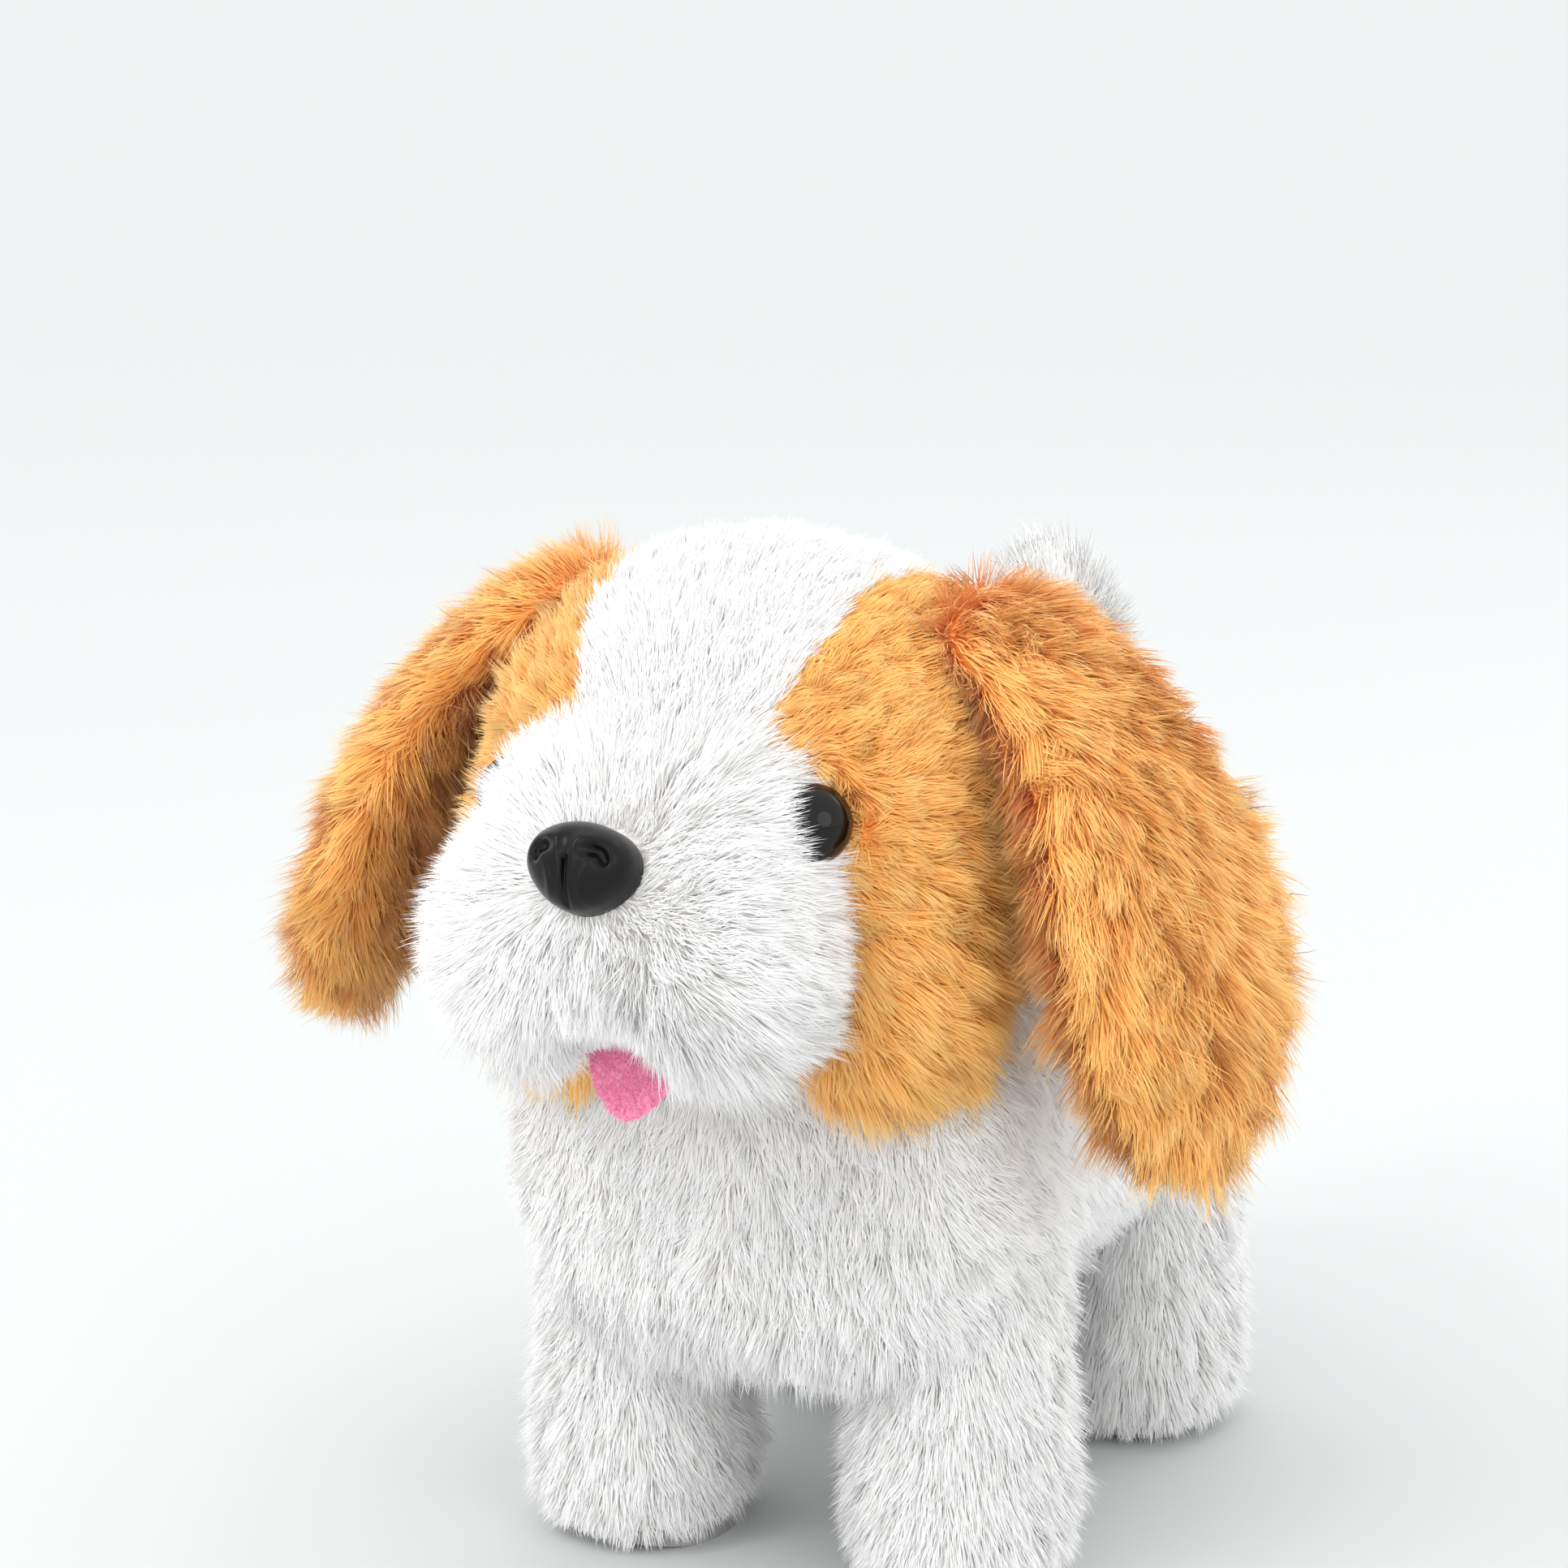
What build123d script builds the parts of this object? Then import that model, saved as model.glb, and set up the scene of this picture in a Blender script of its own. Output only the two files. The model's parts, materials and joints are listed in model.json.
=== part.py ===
from build123d import *
import math
import os

# Walking plush puppy: a geared battery chassis carries four swinging legs, a nodding head with
# two flopping ears and a wagging tail, all under a plush skin.
# The dog faces -Y, its left side is +X, and its soles rest on Z = 0.  All sizes are in millimetres.

# ---- driving dimensions --------------------------------------------------------------------
BODY_HALF_WIDTH = 42.0
BODY_FRONT, BODY_BACK = -64.0, 68.0
BELLY_Z, BACK_Z = 40.0, 112.0
CAVITY_HALF_WIDTH = 32.0
CAVITY_FRONT, CAVITY_STEP, CAVITY_BACK = -57.0, -16.0, 58.0
CAVITY_FRONT_TOP, CAVITY_TOP = 84.0, 101.0

CHASSIS_HALF_WIDTH = 20.0
CHASSIS_HALF_LENGTH = 56.0
CHASSIS_BOTTOM, CHASSIS_TOP = 42.0, 98.0
CHASSIS_STEP, CHASSIS_FRONT_TOP = -14.0, 80.0   # the front is lower, under the head
WALL = 2.0

FRONT_HIP_Y, REAR_HIP_Y, HIP_Z = -38.0, 42.0, 62.0
LEG_X = 27.0                    # centre of each leg, left and right
LEG_RADIUS = 15.0
LEG_PLATE_IN, LEG_PLATE_OUT = 25.5, 28.5
HIP_CLEARANCE = 18.0            # the leg sleeve ends this far from the hip axle
SOLE_THICK = 3.0
SOLE_ROCKER = 62.6              # the sole is curved about the hip axle past its flat middle

AXLE_RADIUS = 1.5
RUNNING_GAP = 0.05              # radial clearance of an axle in its bore

CRANK_Z = 82.0
CRANK_THROW = 4.0
CRANK_PIN_RADIUS = 1.4
LINK_Z = 74.0                   # the rods join the leg levers above the hips

GEAR_MODULE = 0.6
GEAR_TEETH, PINION_TEETH = 36, 10
GEAR_CENTRES = 14.0             # a little over nominal, for backlash
GEAR_DROP = 4.7                 # the idlers alternate this far below the crank axis

HEAD_Y, HEAD_Z = -50.0, 130.0   # also the axis that the head nods about
HEAD_HALF_WIDTH, HEAD_RADIUS = 45.0, 41.0
PLUSH_THICK = 5.0
BLAZE_HALF_WIDTH = 15.0
MUZZLE_Y, MUZZLE_Z = -89.0, 119.0
MUZZLE_HALF_WIDTH, MUZZLE_RADIUS = 28.0, 23.0
NECK_RADIUS = 14.0

NOSE_TILT = 24.0                # degrees that the nose faces up, along the muzzle's own surface
NOSE_WIDTH, NOSE_HEIGHT, NOSE_DEPTH = 17.0, 14.5, 7.5
NOSE_SHANK = 2.0
EYE_X, EYE_Y, EYE_Z, EYE_RADIUS = 24.5, -86.0, 132.5, 6.0

EAR_BOW = [(36.0, 161.0), (64.0, 135.0), (76.0, 78.0)]     # X and Z of the ear's middle, seen from the front
EAR_THICK = 11.0
EAR_TOP_Y, EAR_TOP_Z, EAR_TOP_RADIUS = -47.0, 149.0, 16.0
EAR_TIP_Y, EAR_TIP_Z, EAR_TIP_RADIUS = -56.0, 104.0, 25.0
EAR_HINGE_X, EAR_HINGE_Z = 33.0, 160.0
EAR_SEAM_RADIUS = 2.2

TAIL_PIVOT_Y, TAIL_PIVOT_Z = 60.0, 90.0
TAIL_PATH = [(76.0, 106.0), (80.0, 126.0), (80.0, 146.0)]   # Y and Z of the tail's middle line
TAIL_RADIUS = 10.0

CELL_RADIUS, CELL_LENGTH = 5.25, 44.5      # AAA cell
CELL_Z = 51.6
DOOR_HALF_WIDTH, DOOR_FRONT, DOOR_BACK = 12.0, -27.0, 35.0
DOOR_SCREW_Y = 31.0
SWITCH_Y = 41.5
SPEAKER_Y = -37.0


# ---- helpers -------------------------------------------------------------------------------
def block(x0, x1, y0, y1, z0, z1):
    """A box between two corners."""
    centre = Pos((x0 + x1) / 2, (y0 + y1) / 2, (z0 + z1) / 2)
    return centre * Box(abs(x1 - x0), abs(y1 - y0), abs(z1 - z0))


def rod_x(radius, x0, x1, y, z):
    """A cylinder along X."""
    return Pos((x0 + x1) / 2, y, z) * Rot(0, 90, 0) * Cylinder(radius, abs(x1 - x0))


def rod_y(radius, y0, y1, x, z):
    """A cylinder along Y."""
    return Pos(x, (y0 + y1) / 2, z) * Rot(90, 0, 0) * Cylinder(radius, abs(y1 - y0))


def rod_z(radius, z0, z1, x, y):
    """A cylinder along Z."""
    return Pos(x, y, (z0 + z1) / 2) * Cylinder(radius, abs(z1 - z0))


def both_sides(shape):
    """The shape and its mirror image across the middle plane."""
    return [shape, mirror(shape, about=Plane.YZ)]


def spheroid_x(half_width, radius, y, z):
    """A ball stretched along X, in the middle plane."""
    return Pos(0, y, z) * scale(Sphere(1), (half_width, radius, radius))


def shell_of(half_width, radius, y, z, thickness):
    """A hollow spheroid with an even wall."""
    inner = spheroid_x(half_width - thickness, radius - thickness, y, z)
    return spheroid_x(half_width, radius, y, z) - inner


def gear(teeth, x0, x1, y, z, first_tooth=0.0):
    """A spur gear along X with thin trapezoid teeth."""
    pitch_radius = GEAR_MODULE * teeth / 2
    tip = pitch_radius + 0.8 * GEAR_MODULE
    root = pitch_radius - 1.2 * GEAR_MODULE
    pitch_angle = 2 * math.pi / teeth
    points = []
    for tooth in range(teeth):
        middle = math.radians(first_tooth) + tooth * pitch_angle
        for radius, part in ((root, -0.28), (tip, -0.1), (tip, 0.1), (root, 0.28)):
            angle = middle + part * pitch_angle
            points.append((radius * math.cos(angle), radius * math.sin(angle)))
    outline = make_face(Polyline(*points, close=True))
    plane = Plane(origin=(x0, y, z), x_dir=(0, 1, 0), z_dir=(1, 0, 0))
    return extrude(plane * outline, x1 - x0)


def export(name, shape, y_shift):
    """One STEP file per node, moved so that the toy is centred on the origin."""
    move = Pos(0, y_shift, 0)
    if isinstance(shape, list):
        export_step(Compound([move * solid for solid in shape]), f"parts/{name}.step")
    else:
        export_step(move * shape, f"parts/{name}.step")


# ---- gear axes: crank, two idlers and motor, each one centre distance further forward ---------
GEAR_STEP = math.sqrt(GEAR_CENTRES ** 2 - GEAR_DROP ** 2)
CRANK_Y = REAR_HIP_Y
IDLER_ONE_Y, IDLER_ONE_Z = CRANK_Y - GEAR_STEP, CRANK_Z - GEAR_DROP
IDLER_TWO_Y, IDLER_TWO_Z = CRANK_Y - 2 * GEAR_STEP, CRANK_Z
MOTOR_Y, MOTOR_Z = CRANK_Y - 3 * GEAR_STEP, CRANK_Z - GEAR_DROP
MESH_DOWN = math.degrees(math.atan2(-GEAR_DROP, -GEAR_STEP))
MESH_UP = -MESH_DOWN


def chassis_halves():
    """The two moulded halves of the gear and battery case, split down the middle."""
    length, inner = CHASSIS_HALF_LENGTH, CHASSIS_HALF_LENGTH - WALL
    case = block(-CHASSIS_HALF_WIDTH, CHASSIS_HALF_WIDTH, -length, length, CHASSIS_BOTTOM, CHASSIS_TOP)
    case = fillet(case.edges().filter_by(Axis.X), 4)
    case -= block(-30, 30, -60, CHASSIS_STEP, CHASSIS_FRONT_TOP, 110)
    hollow_half = CHASSIS_HALF_WIDTH - WALL
    hollow = block(-hollow_half, hollow_half, -inner, inner, CHASSIS_BOTTOM + WALL, CHASSIS_TOP - WALL)
    case -= hollow - block(-30, 30, -60, CHASSIS_STEP + WALL, CHASSIS_FRONT_TOP - WALL, 110)
    for y, z in case_screw_places():
        case += rod_x(3, -hollow_half - 0.5, hollow_half + 0.5, y, z)
    for z in (TAIL_PIVOT_Z - 6, TAIL_PIVOT_Z + 4):
        lug = block(-4, 4, length - 1, TAIL_PIVOT_Y, z, z + 2) + rod_z(4, z, z + 2, 0, TAIL_PIVOT_Y)
        case += lug - block(-4, 4, length - 3, length - 1, z, z + 2)
    case -= rod_z(AXLE_RADIUS + RUNNING_GAP, TAIL_PIVOT_Z - 7, TAIL_PIVOT_Z + 7, 0, TAIL_PIVOT_Y)
    door = DOOR_HALF_WIDTH + 0.3
    case -= block(-door, door, DOOR_FRONT - 0.3, DOOR_BACK + 0.3, CHASSIS_BOTTOM - 1, CHASSIS_BOTTOM + WALL)
    case -= block(-2, 2, SWITCH_Y - 4, SWITCH_Y + 4, CHASSIS_BOTTOM - 1, CHASSIS_BOTTOM + WALL)
    case -= sound_holes(CHASSIS_BOTTOM - 1, CHASSIS_BOTTOM + WALL)
    for hip_y in (FRONT_HIP_Y, REAR_HIP_Y):
        case -= rod_x(AXLE_RADIUS, -25, 25, hip_y, HIP_Z)
    case -= rod_x(AXLE_RADIUS + RUNNING_GAP, -25, 25, CRANK_Y, CRANK_Z)
    for y, z in ((IDLER_ONE_Y, IDLER_ONE_Z), (IDLER_TWO_Y, IDLER_TWO_Z)):
        case -= rod_x(1.0, -19, 19, y, z)
    for y, z in case_screw_places():
        case -= rod_x(1.1, -25, 14, y, z)
        case -= rod_x(2.6, -25, -18.4, y, z)
    left = case & block(0, 30, -80, 80, 0, 120)
    right = case & block(-30, 0, -80, 80, 0, 120)
    return left, right


def case_screw_places():
    """Y and Z of the four screws that hold the chassis halves together."""
    reach = CHASSIS_HALF_LENGTH - 4.5
    low, high = CHASSIS_BOTTOM + 10, CHASSIS_TOP - 4.5
    return [(-reach, low), (-reach, CHASSIS_FRONT_TOP - 4.5), (reach, low), (28.5, high)]


def sound_holes(z0, z1):
    """A ring of small holes under the speaker, with one in the middle."""
    holes = rod_z(1.1, z0, z1, 0, SPEAKER_Y)
    for turn in range(6):
        angle = math.radians(60 * turn)
        holes += rod_z(1.1, z0, z1, 5 * math.cos(angle), SPEAKER_Y + 5 * math.sin(angle))
    return holes


def case_screws():
    screws = []
    for y, z in case_screw_places():
        head = rod_x(2.4, -20, -18.4, y, z) - block(-20.1, -19.4, y - 1.8, y + 1.8, z - 0.35, z + 0.35)
        screws.append(head + rod_x(1.1, -18.4, 12, y, z))
    return screws


def belly_bezel():
    """The flat frame that clamps the edge of the plush round the battery door."""
    top = CHASSIS_BOTTOM
    plate = block(-16, 16, -46, 48.5, BELLY_Z, top)
    plate = fillet(plate.edges().filter_by(Axis.Z), 6)
    door = DOOR_HALF_WIDTH + 0.6
    plate -= block(-door, door, DOOR_FRONT - 0.6, DOOR_BACK + 0.6, BELLY_Z - 1, top + 1)
    plate -= block(-2, 2, SWITCH_Y - 4, SWITCH_Y + 4, BELLY_Z - 1, top + 1)
    return plate - sound_holes(BELLY_Z - 1, top + 1)


def battery_tray():
    """The open-bottomed box over the two cells, with the boss for the door screw."""
    floor = CHASSIS_BOTTOM + WALL
    tray = block(-12.4, 12.4, -26, 26.5, floor, 58.6) - block(-11.2, 11.2, -24.8, 25.3, floor - 1, 57.4)
    tray += rod_z(3, floor, 52, 0, DOOR_SCREW_Y) + block(-1.5, 1.5, 25.5, DOOR_SCREW_Y, floor, 52)
    return tray - rod_z(1.15, floor - 1, 51, 0, DOOR_SCREW_Y)


def battery_cells():
    """Two AAA cells side by side, facing opposite ways, each with its raised button."""
    cells = []
    for side in (-1, 1):
        x = side * (CELL_RADIUS + 0.2)
        body = rod_y(CELL_RADIUS, -CELL_LENGTH / 2, CELL_LENGTH / 2 - 0.8, x, CELL_Z)
        cell = body + rod_y(1.9, CELL_LENGTH / 2 - 0.8, CELL_LENGTH / 2, x, CELL_Z)
        if side < 0:
            cell = Pos(x, 0, CELL_Z) * Rot(0, 0, 180) * Pos(-x, 0, -CELL_Z) * cell
        cells.append(cell)
    return cells


def battery_contacts():
    """One joining plate at the front, two separate plates at the back."""
    plates = [block(-10.5, 10.5, -24.8, -24.3, 46.5, 56.5)]
    plates += both_sides(block(1, 10.5, 24.8, 25.3, 46.5, 56.5))
    return plates


def battery_door():
    """The panel under the cells, with its screw hole and finger ridges."""
    door = block(-DOOR_HALF_WIDTH, DOOR_HALF_WIDTH, DOOR_FRONT, DOOR_BACK, BELLY_Z, CHASSIS_BOTTOM + 1.7)
    door = fillet(door.edges().filter_by(Axis.Z), 2)
    for row in range(4):
        ridge_y = DOOR_FRONT + 6 + 3 * row
        door -= block(-7, 7, ridge_y, ridge_y + 1.2, BELLY_Z - 0.1, BELLY_Z + 0.6)
    door -= rod_z(1.1, BELLY_Z - 1, 50, 0, DOOR_SCREW_Y)
    return door - rod_z(2.3, BELLY_Z - 1, BELLY_Z + 1.4, 0, DOOR_SCREW_Y)


def door_screw():
    head = rod_z(2.2, BELLY_Z, BELLY_Z + 1.4, 0, DOOR_SCREW_Y)
    cross = block(-1.5, 1.5, DOOR_SCREW_Y - 0.3, DOOR_SCREW_Y + 0.3, BELLY_Z - 0.1, BELLY_Z + 0.7)
    cross += block(-0.3, 0.3, DOOR_SCREW_Y - 1.5, DOOR_SCREW_Y + 1.5, BELLY_Z - 0.1, BELLY_Z + 0.7)
    return head - cross + rod_z(1.05, BELLY_Z + 1.4, 49, 0, DOOR_SCREW_Y)


def power_switch():
    """The slide switch: a fixed housing above the chassis floor, and the knob that pokes through."""
    floor = CHASSIS_BOTTOM + WALL
    housing = block(-4, 4, SWITCH_Y - 5, SWITCH_Y + 4.4, floor, 49)
    housing -= block(-1.8, 1.8, SWITCH_Y - 3.7, SWITCH_Y + 3.7, floor - 1, 47.5)
    knob = block(-1.4, 1.4, SWITCH_Y - 3.2, SWITCH_Y - 0.2, BELLY_Z - 1.5, 47.2)
    knob += block(-1.4, 1.4, SWITCH_Y - 3.4, SWITCH_Y, 44.6, 47.2)
    return housing, knob


def circuit_board():
    """The sound and motor board, upright beside the gears, with its chip, coil and capacitor."""
    board = block(12, 13.6, -12, 12, 60, 94)
    board += block(10, 12, -8, 2, 68, 78)
    board += rod_x(3, 6, 12, 7, 85)
    board += rod_x(2.2, 7.5, 12, 7, 71)
    for row in range(5):
        board += block(11, 12, -9 + 4 * row, -7 + 4 * row, 90, 92)
    return board - rod_x(1.2, 11, 15, 9, 63)


def speaker():
    """A small round speaker facing down, with its magnet on top."""
    floor = CHASSIS_BOTTOM + WALL
    basket = rod_z(10, floor, floor + 3, 0, SPEAKER_Y) - rod_z(8, floor - 1, floor + 1.2, 0, SPEAKER_Y)
    return basket + rod_z(5, floor + 3, floor + 6, 0, SPEAKER_Y)


def motor():
    """The flat-sided toy motor, lying across the chassis, with its shaft."""
    can = rod_x(7, -17.9, -4.5, MOTOR_Y, MOTOR_Z)
    can &= block(-30, 10, MOTOR_Y - 7, MOTOR_Y + 7, MOTOR_Z - 5.5, MOTOR_Z + 5.5)
    return can + rod_x(2, -4.5, -3.7, MOTOR_Y, MOTOR_Z)


def gear_train():
    """Motor pinion, two compound idlers and the crank gear with its shaft."""
    half_tooth = 180 / PINION_TEETH
    pinion = gear(PINION_TEETH, -3.2, 0.2, MOTOR_Y, MOTOR_Z, 180 + MESH_DOWN + half_tooth)
    pinion -= rod_x(0.5, -4, 1, MOTOR_Y, MOTOR_Z)
    pinion += rod_x(0.5, -3.6, 0.2, MOTOR_Y, MOTOR_Z)

    wheel_two = gear(GEAR_TEETH, -3, 0, IDLER_TWO_Y, IDLER_TWO_Z, MESH_DOWN)
    wheel_two += gear(PINION_TEETH, 0, 3.9, IDLER_TWO_Y, IDLER_TWO_Z, 180 + MESH_UP + half_tooth)
    wheel_two -= rod_x(1 + RUNNING_GAP, -4, 5, IDLER_TWO_Y, IDLER_TWO_Z)

    wheel_one = gear(GEAR_TEETH, 0.5, 3.5, IDLER_ONE_Y, IDLER_ONE_Z, MESH_UP)
    wheel_one += gear(PINION_TEETH, 3.5, 7.5, IDLER_ONE_Y, IDLER_ONE_Z, 180 + MESH_DOWN + half_tooth)
    wheel_one -= rod_x(1 + RUNNING_GAP, -1, 8, IDLER_ONE_Y, IDLER_ONE_Z)

    crank_gear = gear(GEAR_TEETH, 4, 7, CRANK_Y, CRANK_Z, MESH_DOWN)
    crank_gear += rod_x(AXLE_RADIUS, -22.5, 22.5, CRANK_Y, CRANK_Z)
    return pinion, wheel_one, wheel_two, crank_gear


def idler_shafts():
    places = ((IDLER_ONE_Y, IDLER_ONE_Z), (IDLER_TWO_Y, IDLER_TWO_Z))
    return [rod_x(1.0, -19, 19, y, z) for y, z in places]


def crank(side, throw):
    """One crank disc on the end of the crank shaft, with its eccentric pin."""
    disc = rod_x(7, side * 20.5, side * 22.5, CRANK_Y, CRANK_Z)
    disc -= rod_x(AXLE_RADIUS, side * 20, side * 23, CRANK_Y, CRANK_Z)
    return disc + rod_x(CRANK_PIN_RADIUS, side * 22.5, side * 25.2, CRANK_Y + throw, CRANK_Z)


def hip_axle(hip_y):
    """A steel axle through the chassis, with a pressed cap on each end."""
    axle = rod_x(AXLE_RADIUS, -30, 30, hip_y, HIP_Z)
    for side in (-1, 1):
        axle += rod_x(2.6, side * 28.8, side * 30.6, hip_y, HIP_Z)
    return axle


def hip_bushes():
    """A spacer on the axle between the chassis and each leg."""
    bushes = []
    for hip_y in (FRONT_HIP_Y, REAR_HIP_Y):
        bush = rod_x(3.2, 20, 25.2, hip_y, HIP_Z) - rod_x(AXLE_RADIUS, 19, 26, hip_y, HIP_Z)
        bushes += both_sides(bush)
    return bushes


def link_rod():
    """The rod that keeps the front and rear legs of one side in step."""
    bar = block(29, 31, FRONT_HIP_Y, REAR_HIP_Y, LINK_Z - 2.2, LINK_Z + 2.2)
    for hip_y in (FRONT_HIP_Y, REAR_HIP_Y):
        bar += rod_x(3.4, 29, 31, hip_y, LINK_Z) + rod_x(1.3, 26, 29, hip_y, LINK_Z)
    return bar


def leg(hip_y, lever_top, slotted):
    """One leg on the left side: moulded lever and foot post, sole, and plush sleeve."""
    inner, outer = LEG_PLATE_IN, LEG_PLATE_OUT
    frame = block(inner, outer, hip_y - 4.5, hip_y + 4.5, 9, lever_top - 4.5)
    frame += rod_x(4.5, inner, outer, hip_y, lever_top - 4.5)
    frame += rod_x(7, inner, outer, hip_y, HIP_Z)
    frame += block(20, 34, hip_y - 9, hip_y + 9, SOLE_THICK, 10)
    frame += block(21, 33, hip_y - 2, hip_y + 2, 10, 34)
    frame -= rod_x(AXLE_RADIUS + RUNNING_GAP, 20, 34, hip_y, HIP_Z)
    frame -= rod_x(1.3 + RUNNING_GAP, 20, 34, hip_y, LINK_Z)
    if slotted:
        reach = CRANK_THROW + 0.4
        slot = block(20, 34, hip_y - 1.8, hip_y + 1.8, CRANK_Z - reach, CRANK_Z + reach)
        frame -= slot + rod_x(1.8, 20, 34, hip_y, CRANK_Z - reach) + rod_x(1.8, 20, 34, hip_y, CRANK_Z + reach)

    sole = Pos(LEG_X, hip_y, 0) * extrude(Ellipse(LEG_RADIUS - 1, LEG_RADIUS), SOLE_THICK)
    sole &= rod_x(SOLE_ROCKER, 0, 60, hip_y, HIP_Z)
    for row in (-1, 0, 1):
        sole -= block(LEG_X - 8, LEG_X + 8, hip_y + 4.5 * row - 0.6, hip_y + 4.5 * row + 0.6, -1, 0.8)

    sleeve = rod_z(LEG_RADIUS, SOLE_THICK, HIP_Z, LEG_X, hip_y)
    sleeve = fillet(sleeve.edges().sort_by(Axis.Z)[0], 2)
    sleeve -= rod_x(HIP_CLEARANCE, 0, 60, hip_y, HIP_Z)
    sleeve -= block(0, 21.5, hip_y - 30, hip_y + 30, 35, 80)
    sleeve -= block(19.7, 34.3, hip_y - 9.3, hip_y + 9.3, 0, 70)
    sleeve = max(sleeve.solids(), key=lambda solid: solid.volume)
    return frame, sole, sleeve


def body_plush():
    """The plush body over the chassis, cut away round the legs, neck, belly panel and tail."""
    wide = BODY_HALF_WIDTH
    body = block(-wide, wide, BODY_FRONT, BODY_BACK, BELLY_Z, BACK_Z)
    body = fillet(body.edges().filter_by(Axis.Z), 30)
    body = fillet(body.edges().group_by(Axis.Z)[-1], 26)
    body = fillet(body.edges().group_by(Axis.Z)[0], 10)
    half = CAVITY_HALF_WIDTH
    cavity = block(-half, half, CAVITY_FRONT, CAVITY_BACK, CHASSIS_BOTTOM, CAVITY_TOP)
    cavity = fillet(cavity.edges().filter_by(Axis.Z), 12)
    cavity = fillet(cavity.edges().group_by(Axis.Z)[-1], 10)
    body -= cavity - block(-half, half, CAVITY_FRONT, CAVITY_STEP, CAVITY_FRONT_TOP, CAVITY_TOP)
    body -= block(-16.3, 16.3, -46.3, 48.8, BELLY_Z - 1, BELLY_Z + 4)
    for hip_y, front, back in ((FRONT_HIP_Y, 40, 22), (REAR_HIP_Y, 22, 40)):
        swing_room = block(11.5, 60, hip_y - front, hip_y + back, 0, 56.5)
        swing_room -= rod_x(HIP_CLEARANCE - 0.5, 0, 70, hip_y, HIP_Z)
        for side in both_sides(swing_room):
            body -= side
    body -= spheroid_x(HEAD_HALF_WIDTH + 1.5, HEAD_RADIUS + 1.5, HEAD_Y, HEAD_Z)
    body -= rod_z(NECK_RADIUS, 80, 130, 0, HEAD_Y + 4)
    body -= block(-10, 10, 50, 80, TAIL_PIVOT_Z - 9, TAIL_PIVOT_Z + 9)
    return max(body.solids(), key=lambda solid: solid.volume)


def neck():
    """The post on the chassis, its pin, and the frame inside the head that turns on it."""
    boss_radius, half = 6.0, 6.0
    post = rod_z(7.5, CHASSIS_FRONT_TOP, CHASSIS_FRONT_TOP + 3, 0, HEAD_Y + 4)
    post += rod_z(5, CHASSIS_FRONT_TOP, HEAD_Z - 3, 0, HEAD_Y + 3)
    post += rod_x(boss_radius, -half, half, HEAD_Y, HEAD_Z)
    post -= rod_x(AXLE_RADIUS + RUNNING_GAP, -10, 10, HEAD_Y, HEAD_Z)
    pin = rod_x(AXLE_RADIUS, -10.5, 10.5, HEAD_Y, HEAD_Z)
    frame = rod_x(7, 6.4, 9.8, HEAD_Y, HEAD_Z) + rod_x(7, -9.8, -6.4, HEAD_Y, HEAD_Z)
    frame += both_sides(block(6.4, 9.8, HEAD_Y - 7, HEAD_Y + 7, HEAD_Z, HEAD_Z + 10))
    frame += block(-9.8, 9.8, HEAD_Y - 10, HEAD_Y + 10, HEAD_Z + 9, HEAD_Z + 12)
    frame += rod_z(4, HEAD_Z + 12, HEAD_Z + 20, 0, HEAD_Y)
    frame -= rod_x(AXLE_RADIUS, -10, 10, HEAD_Y, HEAD_Z)
    return post, pin, frame


def toward_eye():
    """The unit direction from the head's middle out through the left eye."""
    x, y, z = EYE_X, EYE_Y - HEAD_Y, EYE_Z - HEAD_Z
    length = math.sqrt(x * x + y * y + z * z)
    return (x / length, y / length, z / length)


def eye_rod(radius, near, far):
    """A cylinder along the left eye's own axis, measured from the dome's centre."""
    direction = toward_eye()
    start = [centre + near * part for centre, part in zip((EYE_X, EYE_Y, EYE_Z), direction)]
    return extrude(Plane(origin=start, z_dir=direction) * Circle(radius), far - near)


def eye():
    """The left safety eye: glossy dome with a shank through the plush."""
    dome = Pos(EYE_X, EYE_Y, EYE_Z) * Sphere(EYE_RADIUS) - eye_rod(10, -10, -1.5)
    return dome + eye_rod(1.8, -15, -1.5)


def eye_washer():
    return eye_rod(5.5, -9.6, -8.4) - eye_rod(1.8, -16, 0)


def nose_plane():
    """A plane on the muzzle's surface, facing the way that the nose points."""
    tilt = math.radians(NOSE_TILT)
    y = MUZZLE_Y - MUZZLE_RADIUS * math.cos(tilt)
    z = MUZZLE_Z + MUZZLE_RADIUS * math.sin(tilt)
    return Plane(origin=(0, y, z), x_dir=(1, 0, 0), z_dir=(0, -math.cos(tilt), math.sin(tilt)))


def nose_rod(radius, near, far):
    """A cylinder along the nose's own axis, measured from the muzzle's surface."""
    return extrude(nose_plane().offset(near) * Circle(radius), far - near)


def nose_dome():
    dome = scale(Sphere(1), (NOSE_WIDTH / 2, NOSE_HEIGHT / 2, NOSE_DEPTH))
    return nose_plane() * (dome & Pos(0, 0, 10 - 1.5) * Box(40, 40, 20))


def nose():
    """The moulded nose: an oval dome with two nostrils and a shank."""
    dome = nose_dome() + nose_rod(NOSE_SHANK, -11, -1)
    for side in (-1, 1):
        dome -= nose_plane() * Pos(side * 3.4, 3.4, NOSE_DEPTH - 1.6) * Sphere(1.3)
    return dome


def nose_washer():
    return nose_rod(4.5, -8, -6.6) - nose_rod(NOSE_SHANK, -12, 0)


def tongue():
    """The felt tongue: a rounded flap from inside the muzzle, hanging forward and down."""
    shape = Rectangle(15, 11) + Pos(0, -5.5) * Ellipse(7.5, 6.5)
    return Plane(origin=(0, -94, 97.5), x_dir=(1, 0, 0), z_dir=(0, -0.88, 0.47)) * extrude(shape, 2)


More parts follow.
